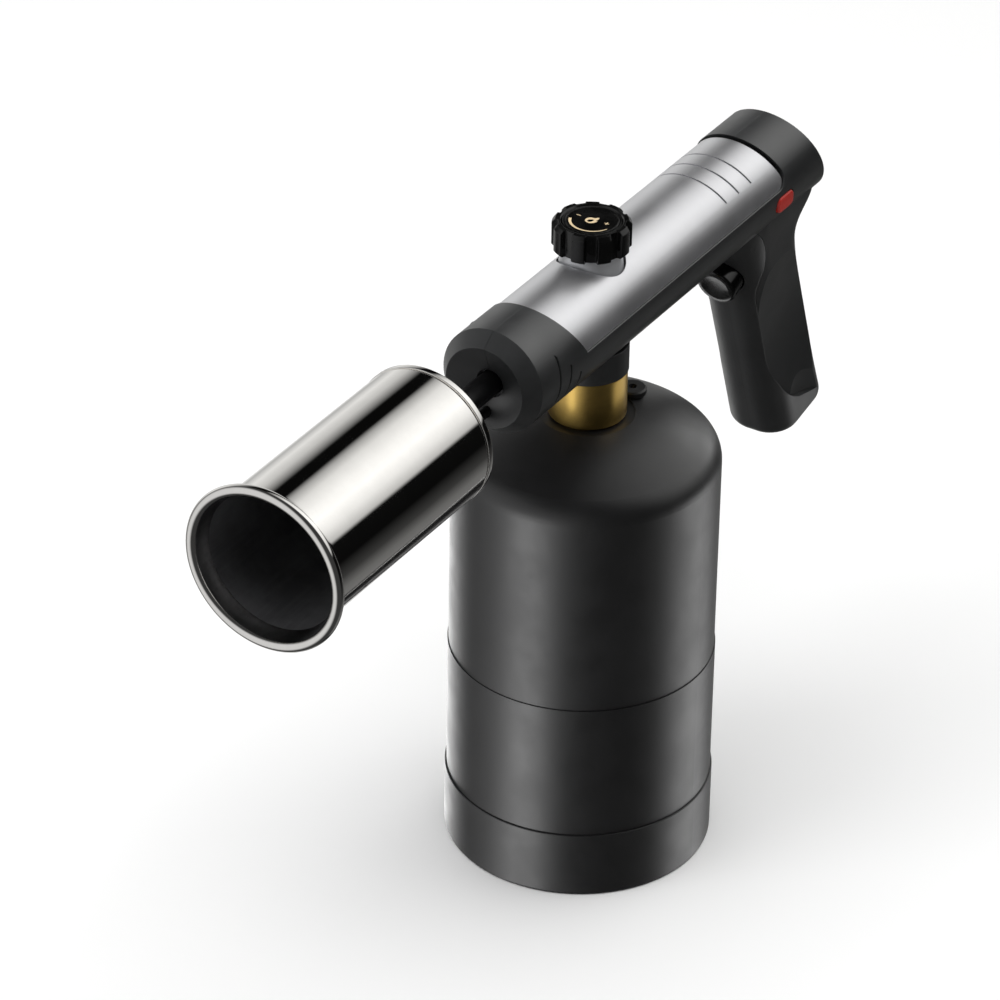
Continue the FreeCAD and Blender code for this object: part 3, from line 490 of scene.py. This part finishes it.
class TorchColours(bpy.types.PropertyGroup):
    """Colours of the torch's finishes."""

    bottle: colour_property("Bottle", "Powder coat of the gas bottle", "#101011")
    sleeve: colour_property("Sleeve", "Film round the lower wall of the bottle", "#101011")
    foot: colour_property("Foot", "Plastic foot of the bottle", "#111112")
    brass: colour_property("Brass", "Coupling and other brass pieces", "#DDB968")
    housing: colour_property("Housing", "Grey plastic of the housing and grip", "#202122")
    shell: colour_property("Top shell", "Satin silver cover on the spine", "#E8E8EB")
    gloss: colour_property("Gloss black", "Knob, dial and trigger", "#060606")
    boss: colour_property("Knob boss", "Grey boss that carries the knob", "#C8C9CC")
    ink: colour_property("Dial ink", "Print on the dial", "#CDB894")
    button: colour_property("Lock button", "Red push button", "#A3241B")
    chrome: colour_property("Chrome", "Flame tube and its end ring", "#F2F0ED")
    scorched: colour_property("Scorched steel", "Inside of the flame tube", "#5A5A5C")
    stem: colour_property("Burner stem", "Black tube behind the burner", "#1C1C1D")
    steel: colour_property("Steel", "Screws, pins and springs", "#B4B5B8")
    copper: colour_property("Copper", "Gas tube", "#B8754A")
    ceramic: colour_property("Ceramic", "Sleeve of the spark rod", "#DDD8CC")
    rubber: colour_property("Rubber", "Seals, gasket and igniter lead", "#141414")


class TorchSizes(bpy.types.PropertyGroup):
    """Driving sizes of the modelled pieces."""

    axis_height: length_property("Spine height", "Height of the spine's axis", 224.1)
    tube_radius: length_property("Flame tube radius", "Outside radius of the flame tube", 26.05)
    tube_wall: length_property("Flame tube wall", "Wall of the flame tube", 0.9)
    lip_radius: length_property("Lip radius", "Radius of the rolled lip's round edge", 2.0)
    knob_radius: length_property("Knob radius", "Outside radius of the knob", half_width("knob"))
    notch_width: length_property("Notch width", "Width of a finger notch in the knob", 4.8)
    notch_depth: length_property("Notch depth", "Depth of a finger notch in the knob", 2.2)
    trigger_radius: length_property("Trigger radius", "Radius of the trigger's round head", 8.0)
    knob_lobes: bpy.props.IntProperty(
        name="Knob lobes", description="Number of lobes round the knob", default=9, min=3, max=16
    )


class TorchStudio(bpy.types.PropertyGroup):
    """Camera, floor and light."""

    azimuth: bpy.props.FloatProperty(
        name="Azimuth", description="Camera bearing", subtype="ANGLE", default=math.radians(31.283)
    )
    elevation: bpy.props.FloatProperty(
        name="Elevation", description="Camera height", subtype="ANGLE", default=math.radians(32.456)
    )
    roll: bpy.props.FloatProperty(
        name="Roll", description="Camera tilt", subtype="ANGLE", default=math.radians(0.85)
    )
    lens: bpy.props.FloatProperty(
        name="Lens", description="Focal length in mm", subtype="DISTANCE_CAMERA", default=175.75
    )
    place: bpy.props.FloatVectorProperty(
        name="Camera place",
        description="Where the camera stands",
        subtype="TRANSLATION",
        unit="LENGTH",
        default=(0.7479, -1.2900, 1.0885),
    )
    floor: colour_property("Floor", "Pale plain floor", "#F4F4F4")
    sky_strength: bpy.props.FloatProperty(
        name="Sky strength", description="Brightness of the soft surroundings", default=1.0
    )


# ------------------------------------------------------------------ operators
class TORCH_OT_stage(bpy.types.Operator):
    """Pale floor, soft boxes round the torch and the camera"""

    bl_idname = "torch.stage"
    bl_label = "Stage"

    # soft bands along the spine: angle from straight up towards +X, in degrees, and brightness
    SKY = (
        (-180, 0.05),
        (-160, 0.45),
        (-140, 0.90),
        (-124, 0.72),
        (-112, 0.46),
        (-88, 0.82),
        (-66, 0.58),
        (-52, 0.24),
        (-43, 0.003),
        (-24, 0.003),
        (-16, 0.40),
        (-2, 0.80),
        (20, 1.08),
        (36, 1.20),
        (56, 0.92),
        (73, 0.54),
        (78, 0.004),
        (108, 0.003),
        (132, 0.04),
        (152, 0.14),
        (167, 0.17),
        (173, 0.003),
    )

    BOTTLE = ("cylinder_shell", "shrink_sleeve", "foot_cup")
    BOTTLE_MIDDLE = (0, 0, 0.09)
    # lamps that light only the pieces named: place in m, width and height in m, power in W;
    # the low ones stand in for a glowing table that the upright walls mirror
    LINKED_BOXES = (
        ("low_front_left", BOTTLE, (-0.198, -0.695, -0.332), 0.36, 0.55, 2.4),
        ("low_back_right", BOTTLE, (0.49, 0.509, -0.332), 0.55, 0.55, 2.1),
        ("low_back_left", BOTTLE, (-0.58, 0.41, -0.332), 0.50, 0.55, 3.0),
        ("low_front_brass", ("coupling_nut",), (-0.198, -0.695, -0.332), 0.30, 0.55, 0.6),
        ("low_side_brass", ("coupling_nut",), (0.49, 0.509, -0.332), 0.75, 0.55, 0.9),
        ("low_trigger", ("igniter_trigger",), (-0.22, 0.02, -0.25), 0.08, 0.30, 0.16),
        ("shoulder_box", BOTTLE, (0.22, 2.07, 0.9), 0.7, 0.5, 4.5),
        ("low_side_grip", ("grip_front_cover",), (0.43, 0.70, -0.30), 0.45, 0.55, 0.5),
    )

    def execute(self, context):
        studio = context.scene.torch_studio
        self.floor(studio)
        self.sky(context.scene, studio)
        fill = soft_box("front_fill", (-0.75, -1.3, 0.9), (0, 0, 0.1), 0.9, 1.2, 7.0)
        overhead = soft_box("overhead_box", (0, 0, 2.2), (0, 0, 0), 2.6, 2.6, 52.0)
        for lamp in (fill, overhead):
            lamp.visible_glossy = False
        for name, lit, place, width, height, watts in self.LINKED_BOXES:
            lamp = soft_box(name, place, self.BOTTLE_MIDDLE, width, height, watts)
            lamp.visible_camera = False
            receivers = bpy.data.collections.new(name)
            for piece in lit:
                receivers.objects.link(bpy.data.objects[piece])
            lamp.light_linking.receiver_collection = receivers
        self.camera(context.scene, studio)
        return {"FINISHED"}

    def floor(self, studio):
        """Large sheet of pale paper that casts nothing and isn't mirrored."""
        deselect()
        bpy.ops.mesh.primitive_plane_add(size=24.0)
        floor = bpy.context.object
        floor.name = "studio_floor"
        material = bpy.data.materials.new("studio_paper")
        material.use_nodes = True
        tree = material.node_tree
        tree.nodes.clear()
        shader = add(
            tree,
            "ShaderNodeBsdfPrincipled",
            {"Base Color": tuple(studio.floor), "Roughness": 0.9, "Specular IOR Level": 0.0},
        )
        add(tree, "ShaderNodeOutputMaterial", {"Surface": shader.outputs[0]})
        floor.data.materials.append(material)
        floor.visible_glossy = False
        floor.visible_shadow = False

    def sky(self, scene, studio):
        """Soft bands behind the torch, a bright patch in front, plain white to the camera."""
        world = bpy.data.worlds.new("studio_surroundings")
        scene.world = world
        world.use_nodes = True
        tree = world.node_tree
        tree.nodes.clear()
        ray = add(tree, "ShaderNodeTexCoord").outputs["Generated"]
        parts = add(tree, "ShaderNodeSeparateXYZ", {0: ray}).outputs
        angle = add(
            tree, "ShaderNodeMath", {0: parts["X"], 1: parts["Z"]}, operation="ARCTAN2"
        ).outputs[0]
        turn = add(
            tree, "ShaderNodeMapRange", {0: angle, 1: -math.pi, 2: math.pi, 3: 0.0, 4: 1.0}
        ).outputs[0]
        bands = add(tree, "ShaderNodeValToRGB", {0: turn})
        stops = bands.color_ramp.elements
        while len(stops) > 1:
            stops.remove(stops[-1])
        for index, (degrees, level) in enumerate(self.SKY):
            stop = stops[0] if index == 0 else stops.new((degrees + 180) / 360)
            stop.position = (degrees + 180) / 360
            stop.color = (level, level, level * 0.985, 1.0)
        behind = ramp_between(tree, parts["Y"], -0.02, 0.25, 0.0, 1.0)
        towards = add(
            tree,
            "ShaderNodeVectorMath",
            {0: ray, 1: Vector((-0.52, -0.85, 0.0)).normalized()},
            operation="DOT_PRODUCT",
        ).outputs["Value"]
        front = ramp_between(tree, towards, 0.45, 0.86, 0.04, 0.66)
        around = add(
            tree,
            "ShaderNodeMix",
            {0: behind, 6: front, 7: bands.outputs[0]},
            data_type="RGBA",
        ).outputs[2]
        lit = add(tree, "ShaderNodeBackground", {0: around, 1: studio.sky_strength}).outputs[0]
        plain = add(tree, "ShaderNodeBackground", {0: (0.95, 0.95, 0.95, 1.0), 1: 1.0}).outputs[0]
        seen = add(tree, "ShaderNodeLightPath").outputs["Is Camera Ray"]
        chosen = add(tree, "ShaderNodeMixShader", {0: seen, 1: lit, 2: plain}).outputs[0]
        add(tree, "ShaderNodeOutputWorld", {"Surface": chosen})
        scene.view_settings.view_transform = "Standard"

    def camera(self, scene, studio):
        """Long lens from the front right, rolled a little."""
        azimuth, elevation, roll = studio.azimuth, studio.elevation, studio.roll
        flat = math.cos(elevation)
        back = Vector((math.sin(azimuth) * flat, -math.cos(azimuth) * flat, math.sin(elevation)))
        level = Vector((math.cos(azimuth), math.sin(azimuth), 0.0))
        upright = back.cross(level)
        right = level * math.cos(roll) + upright * math.sin(roll)
        up = upright * math.cos(roll) - level * math.sin(roll)
        camera = bpy.data.objects.new("camera", bpy.data.cameras.new("camera"))
        scene.collection.objects.link(camera)
        camera.data.lens = studio.lens
        camera.data.sensor_width = 36.0
        camera.data.clip_start = 0.05
        camera.data.clip_end = 60.0
        turn = Matrix((right, up, back)).transposed().to_4x4()
        camera.matrix_world = Matrix.Translation(Vector(studio.place)) @ turn
        scene.camera = camera


def soft_box(name, place, aim, width, height, watts):
    """Rectangular soft light at a place, facing a point."""
    data = bpy.data.lights.new(name, "AREA")
    data.shape = "RECTANGLE"
    data.size = width
    data.size_y = height
    data.energy = watts
    lamp = bpy.data.objects.new(name, data)
    bpy.context.scene.collection.objects.link(lamp)
    lamp.location = place
    lamp.rotation_euler = (Vector(aim) - Vector(place)).to_track_quat("-Z", "Y").to_euler()
    return lamp


class TORCH_OT_bottle(bpy.types.Operator):
    """Finishes of the gas bottle, its sleeve, foot and valves"""

    bl_idname = "torch.bottle"
    bl_label = "Gas bottle"

    def execute(self, context):
        colours = context.scene.torch_colours
        paint(powder_coated_steel(colours.bottle), "cylinder_shell", "relief_valve_body")
        paint(shrink_film(colours.sleeve), "shrink_sleeve")
        paint(moulded_polypropylene(colours.foot), "foot_cup")
        return {"FINISHED"}


class TORCH_OT_metalwork(bpy.types.Operator):
    """Finishes of the brass, steel, copper, ceramic and rubber pieces"""

    bl_idname = "torch.metalwork"
    bl_label = "Metalwork and seals"

    def execute(self, context):
        colours = context.scene.torch_colours
        paint(
            turned_brass(colours.brass),
            "brass_coupling",
            "valve_boss",
            "spring_plug",
            "depressor_pin",
            "valve_body",
            "needle",
            "bonnet_nut",
            "jet_holder",
            "gas_jet",
        )
        paint(
            bright_steel(colours.steel),
            "check_valve_pin",
            "check_valve_spring",
            "relief_valve_poppet",
            "relief_valve_spring",
            "relief_spring_cap",
            "valve_stem",
            "stem_lock_nut",
            "knob_screw",
            "electrode",
            "trigger_spring",
            "lock_spring",
            "housing_screws",
        )
        paint(drawn_copper(colours.copper), "gas_tube")
        paint(fired_ceramic(colours.ceramic), "electrode_insulator")
        paint(
            black_rubber(colours.rubber),
            "coupling_seal",
            "stem_seal",
            "igniter_lead",
            "shell_gasket",
            "piezo_igniter",
        )
        paint(blackened_steel(colours.stem), "burner_stem")
        paint(heat_stained_steel(colours.scorched), "burner_head", "burner_rear_plate")
        return {"FINISHED"}


class TORCH_OT_housing(bpy.types.Operator):
    """Finishes of the clamshell, grip cover, neck and silver top shell"""

    bl_idname = "torch.housing"
    bl_label = "Housing"

    def execute(self, context):
        colours = context.scene.torch_colours
        paint(
            textured_abs(colours.housing),
            "housing_left",
            "housing_right",
            "grip_front_cover",
            "neck_collar",
        )
        paint(satin_aluminium(colours.shell), "top_shell")
        paint(grey_paint(colours.boss), "knob_boss")
        return {"FINISHED"}


class TORCH_OT_burner(bpy.types.Operator):
    """Chromed flame tube with its rolled lip, and the ring behind it"""

    bl_idname = "torch.burner"
    bl_label = "Burner"

    def execute(self, context):
        sizes = context.scene.torch_sizes
        colours = context.scene.torch_colours
        chrome = mirror_chrome(colours.chrome)
        low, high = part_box("burner_tube")
        centre = (0, 0, sizes.axis_height)
        outer = sizes.tube_radius / MM
        inner = outer - sizes.tube_wall / MM
        lip = sizes.lip_radius / MM
        rear = -high.y / MM
        bead = (high.x / MM - lip, -low.y / MM - lip)
        neck = bead[1] - 6.3
        middle = rear + 40
        flare = 7.0
        outside = [(outer - 0.7, rear), (outer - 0.7, rear + 0.3), (outer, rear + 0.55)]
        outside += [(outer, middle), (outer, neck)]
        outside += on_circle((outer + flare, neck), flare, 180, 148, 6)[1:]
        rolled = on_circle(bead, lip, -62, 180, 28)
        inside = [(inner + 0.6, neck + 2.6), (inner, neck + 1.2), (inner, middle), (inner, rear)]
        tube = turned("flame_tube", outside + rolled + inside, centre, FORWARD, steps=256)
        dress(tube, "torch", "chrome", chrome, "burner_tube")
        tube.data.materials.append(heat_stained_steel(colours.scorched))
        for face in tube.data.polygons:
            spot = face.center
            radius = math.hypot(spot.x, spot.z - sizes.axis_height) / MM
            if radius < inner + 0.2:
                face.material_index = 1

        low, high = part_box("burner_end_ring")
        radius = high.x / MM
        start = -high.y / MM
        stop = -low.y / MM
        ring_profile = on_circle((radius - 0.5, start + 0.5), 0.5, -90, 0, 5)
        ring_profile += on_circle((radius - 0.3, stop - 0.3), 0.3, 0, 90, 4)
        ring_profile += [(inner, stop), (inner, start + 0.3), (inner + 0.3, start)]
        ring = turned("flame_tube_end_ring", ring_profile, centre, FORWARD, steps=256)
        dress(ring, "torch", "chrome", chrome, "burner_end_ring")
        return {"FINISHED"}


class TORCH_OT_coupling(bpy.types.Operator):
    """Brass coupling with rounded rims and a bored seat"""

    bl_idname = "torch.coupling"
    bl_label = "Coupling"

    def execute(self, context):
        colours = context.scene.torch_colours
        low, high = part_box("brass_coupling")
        radius = high.x / MM
        bottom = low.z / MM
        top = high.z / MM
        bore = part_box("valve_boss")[1].x / MM + 0.1
        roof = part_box("coupling_seal")[1].z / MM
        profile = [(bore + 0.6, bottom), (radius - 1.0, bottom)]
        profile += on_circle((radius - 0.6, bottom + 0.6), 0.6, -90, 0, 6)
        profile += on_circle((radius - 0.6, top - 0.6), 0.6, 0, 90, 6)
        profile += [(8, top), (8, roof), (bore, roof), (bore, bottom + 0.6)]
        nut = turned("coupling_nut", profile, (0, 0, 0), (0, 0, 1))
        dress(nut, "torch", "brass", turned_brass(colours.brass), "brass_coupling")
        return {"FINISHED"}


class TORCH_OT_knob(bpy.types.Operator):
    """Lobed flow knob with its dial and the print on it"""

    bl_idname = "torch.knob"
    bl_label = "Flow knob"

    def execute(self, context):
        sizes = context.scene.torch_sizes
        colours = context.scene.torch_colours
        gloss = gloss_abs(colours.gloss)
        low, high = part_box("knob")
        base = low.z / MM
        top = high.z / MM
        radius = sizes.knob_radius / MM
        dial_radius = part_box("dial_plate")[1].x / MM
        blank = [
            (2.5, base),
            (radius - 0.7, base),
            (radius, base + 0.7),
            (radius, top - 1.5),
            (radius - 1.2, top),
            (dial_radius + 0.75, top),
            (dial_radius + 0.15, top - 0.75),
            (3.6, top - 0.75),
            (3.6, top - 3.4),
            (2.5, top - 3.4),
        ]
        knob = turned("flow_knob", blank, (0, 0, 0), (0, 0, 1), steps=180)
        cutters = self.cutters(sizes, radius, base, top)
        carve = knob.modifiers.new("notches", "BOOLEAN")
        carve.operation = "DIFFERENCE"
        carve.object = cutters
        carve.solver = "EXACT"
        deselect()
        knob.select_set(True)
        bpy.context.view_layer.objects.active = knob
        bpy.ops.object.modifier_apply(modifier=carve.name)
        bpy.data.objects.remove(cutters)
        apply_bevel(knob, 0.28, segments=3, angle=28.0)
        finish_mesh(knob, "flow_knob", 40.0)
        dress(knob, "knob", "gloss_black_plastic", gloss, "knob")

        dial_low, dial_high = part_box("dial_plate")
        face = dial_high.z / MM
        profile = [(0, dial_low.z / MM), (dial_radius, dial_low.z / MM)]
        profile += on_circle((dial_radius - 0.15, face - 0.15), 0.15, 0, 90, 4)
        profile += [(dial_radius - 0.9, face), (dial_radius - 1.0, face - 0.08)]
        profile += [(dial_radius - 1.2, face - 0.08), (dial_radius - 1.3, face), (0, face)]
        dial = turned("dial_face", profile, (0, 0, 0), (0, 0, 1), steps=128, closed=False)
        dress(dial, "knob", "dial_print", gloss, "dial_plate")
        ink = printed_ink(colours.ink)
        for mark in self.marks(face):
            dress(mark, "knob", "dial_print", ink)
        return {"FINISHED"}

    def cutters(self, sizes, radius, base, top):
        """Notch blocks round the rim, joined into one mesh."""
        width = sizes.notch_width / MM
        depth = sizes.notch_depth / MM
        blocks = []
        for index in range(sizes.knob_lobes):
            deselect()
            bpy.ops.mesh.primitive_cube_add(size=1.0)
            block = bpy.context.object
            bpy.ops.object.mode_set(mode="EDIT")
            bpy.ops.mesh.select_all(action="SELECT")
            bpy.ops.transform.resize(value=(4 * MM, width * 0.72 * MM, (top - base + 4) * MM))
            spread_outer_faces(block, 1.9)
            bpy.ops.mesh.select_all(action="SELECT")
            out = (radius - depth + 2) * MM
            bpy.ops.transform.translate(value=(out, 0, (top + base) / 2 * MM))
            bpy.ops.object.mode_set(mode="OBJECT")
            block.rotation_euler.z = math.tau * (index + 0.5) / sizes.knob_lobes
            blocks.append(block)
        deselect()
        for block in blocks:
            block.select_set(True)
        bpy.context.view_layer.objects.active = blocks[0]
        bpy.ops.object.transform_apply(location=True, rotation=True, scale=True)
        bpy.ops.object.join()
        return bpy.context.object

    def marks(self, face):
        """Cream print: a tapering arc, a flame, a minus and a plus."""
        pieces = []
        arc_outer = [polar(8.3, a) for a in range(-160, -17, 4)]
        arc_inner = [polar(7.2 + 0.75 * (a + 160) / 142, a) for a in range(-160, -17, 4)]
        pieces.append(flat_print("dial_arc", [arc_outer + arc_inner[::-1]], face))
        flame = [
            (-0.2, -2.5), (-1.5, -1.9), (-2.1, -0.7), (-1.7, 0.6), (-0.8, 1.5), (-0.3, 2.9),
            (0.8, 2.0), (1.2, 1.0), (1.5, 1.3), (2.0, 0.2), (1.9, -1.1), (1.1, -2.1),
        ]
        core = [(0.0, -1.8), (-0.8, -1.1), (-0.6, -0.3), (0.1, 0.5), (0.8, -0.4), (0.7, -1.3)]
        flame, core = (swung(outline, -32.0) for outline in (flame, core))
        pieces.append(flat_print("dial_flame", [flame, core], face, smooth=True))
        dash = [(-0.9, -0.2), (0.9, -0.2), (0.9, 0.2), (-0.9, 0.2)]
        minus = [(x - 5.8, y + 0.6) for x, y in dash]
        plus = [
            (-0.9, -0.2), (-0.2, -0.2), (-0.2, -0.9), (0.2, -0.9), (0.2, -0.2), (0.9, -0.2),
            (0.9, 0.2), (0.2, 0.2), (0.2, 0.9), (-0.2, 0.9), (-0.2, 0.2), (-0.9, 0.2),
        ]
        pieces.append(flat_print("dial_minus", [minus], face))
        pieces.append(flat_print("dial_plus", [[(x + 5.6, y + 0.6) for x, y in plus]], face))
        return pieces


def swung(outline, degrees):
    """Outline turned about the origin."""
    turn = Matrix.Rotation(math.radians(degrees), 2)
    return [tuple(turn @ Vector(point)) for point in outline]


def polar(radius, degrees):
    """Point at a radius and angle."""
    angle = math.radians(degrees)
    return (radius * math.cos(angle), radius * math.sin(angle))


def spread_outer_faces(block, factor):
    """Widen the faces of a block, in edit mode, that lie furthest out along X."""
    bpy.ops.mesh.select_all(action="DESELECT")
    bpy.ops.object.mode_set(mode="OBJECT")
    reach = max(vertex.co.x for vertex in block.data.vertices)
    for vertex in block.data.vertices:
        vertex.select = vertex.co.x > reach - 0.01 * MM
    bpy.ops.object.mode_set(mode="EDIT")
    bpy.ops.transform.resize(value=(1, factor, 1))


def flat_print(name, outlines, height, smooth=False, thickness=0.04):
    """Thin printed shape on a level face, from closed outlines in mm."""
    curve = bpy.data.curves.new(name, "CURVE")
    curve.dimensions = "2D"
    curve.fill_mode = "BOTH"
    curve.extrude = thickness / 2 * MM
    for outline in outlines:
        spline = curve.splines.new("BEZIER")
        spline.bezier_points.add(len(outline) - 1)
        for point, (x, y) in zip(spline.bezier_points, outline):
            point.co = (x * MM, y * MM, 0)
            point.handle_left_type = "AUTO" if smooth else "VECTOR"
            point.handle_right_type = "AUTO" if smooth else "VECTOR"
        spline.use_cyclic_u = True
    piece = bpy.data.objects.new(name, curve)
    bpy.context.scene.collection.objects.link(piece)
    deselect()
    piece.select_set(True)
    bpy.context.view_layer.objects.active = piece
    bpy.ops.object.convert(target="MESH")
    piece = bpy.context.object
    piece.location.z = (height + thickness / 2) * MM
    return finish_mesh(piece, name)


class TORCH_OT_trigger(bpy.types.Operator):
    """Gloss black igniter trigger with a slightly dished face"""

    bl_idname = "torch.trigger"
    bl_label = "Igniter trigger"

    # where the trigger's axis meets the grip's face, in m, and how far the face stands out, in mm
    SEAT = (0.0, 0.097604, 0.187)
    STAND = 6.2

    def execute(self, context):
        sizes = context.scene.torch_sizes
        out = -Vector(joint("trigger_press")["axis"])
        radius = sizes.trigger_radius / MM
        bore, flange = 4.3, 9.2
        profile = [(bore, -5.8), (flange, -5.8), (flange, -4.4), (radius, -4.4)]
        profile += on_circle((radius - 1.3, self.STAND - 1.5), 1.3, 0, 78, 10)
        profile += [(radius - 2.6, self.STAND - 0.3), (radius - 4.4, self.STAND - 0.42)]
        profile += [(0, self.STAND - 0.5)]
        profile += [(0, 3), (bore, 3)]
        button = turned("igniter_trigger", profile, self.SEAT, out, steps=144)
        gloss = gloss_abs(context.scene.torch_colours.gloss)
        dress(button, "trigger", "gloss_black_plastic", gloss, "trigger_button")
        return {"FINISHED"}


class TORCH_OT_lock_button(bpy.types.Operator):
    """Red lock button with a crowned face"""

    bl_idname = "torch.lock_button"
    bl_label = "Lock button"

    def execute(self, context):
        low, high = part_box("lock_button")
        flange = 1.2 * MM
        deselect()
        bpy.ops.mesh.primitive_cube_add(size=1.0)
        button = bpy.context.object
        bpy.ops.object.mode_set(mode="EDIT")
        bpy.ops.mesh.select_all(action="SELECT")
        size = high - low
        bpy.ops.transform.resize(value=(size.x, size.y - 2 * flange, size.z - 2 * flange))
        bpy.ops.transform.translate(value=(high + low) / 2)
        select_edges(button, lambda a, b: abs((b - a).normalized().x) > 0.9)
        bpy.ops.mesh.bevel(offset=2.4 * MM, segments=8, affect="EDGES")
        select_edges(button, lambda a, b: min(a.x, b.x) > high.x - 0.01 * MM)
        bpy.ops.mesh.bevel(offset=0.9 * MM, segments=5, affect="EDGES")
        bpy.ops.object.mode_set(mode="OBJECT")
        finish_mesh(button, "lock_push_button", 40.0)
        red = red_abs(context.scene.torch_colours.button)
        dress(button, "lock", "red_plastic", red, "lock_button")
        return {"FINISHED"}


def select_edges(piece, test):
    """Select, in edit mode, the edges whose two end points pass a test."""
    bpy.ops.mesh.select_all(action="DESELECT")
    bpy.ops.mesh.select_mode(type="EDGE")
    bpy.ops.object.mode_set(mode="OBJECT")
    corners = piece.data.vertices
    for edge in piece.data.edges:
        first, second = (corners[index].co for index in edge.vertices)
        edge.select = test(first, second)
    bpy.ops.object.mode_set(mode="EDIT")


class TORCH_PT_panel(bpy.types.Panel):
    """Sizes, colours and build steps of the torch"""

    bl_idname = "TORCH_PT_panel"
    bl_label = "Propane torch"
    bl_space_type = "VIEW_3D"
    bl_region_type = "UI"
    bl_category = "Torch"

    def draw(self, context):
        for name in GROUPS:
            group = getattr(context.scene, name)
            box = self.layout.box()
            for key in group.__annotations__:
                box.prop(group, key)
        for operator in OPERATORS:
            self.layout.operator(operator.bl_idname)


GROUPS = {"torch_colours": TorchColours, "torch_sizes": TorchSizes, "torch_studio": TorchStudio}
OPERATORS = (
    TORCH_OT_bottle,
    TORCH_OT_metalwork,
    TORCH_OT_housing,
    TORCH_OT_burner,
    TORCH_OT_coupling,
    TORCH_OT_knob,
    TORCH_OT_trigger,
    TORCH_OT_lock_button,
    TORCH_OT_stage,
)


def register():
    """Add the settings, the build steps and the panel."""
    for name, group in GROUPS.items():
        bpy.utils.register_class(group)
        setattr(bpy.types.Scene, name, bpy.props.PointerProperty(type=group))
    for kind in (*OPERATORS, TORCH_PT_panel):
        bpy.utils.register_class(kind)


def unregister():
    """Take them away again."""
    for kind in (TORCH_PT_panel, *reversed(OPERATORS)):
        bpy.utils.unregister_class(kind)
    for name, group in GROUPS.items():
        delattr(bpy.types.Scene, name)
        bpy.utils.unregister_class(group)


def main():
    """Build every piece and the stage."""
    register()
    for operator in OPERATORS:
        space, verb = operator.bl_idname.split(".")
        getattr(getattr(bpy.ops, space), verb)()


if __name__ == "__main__":
    main()
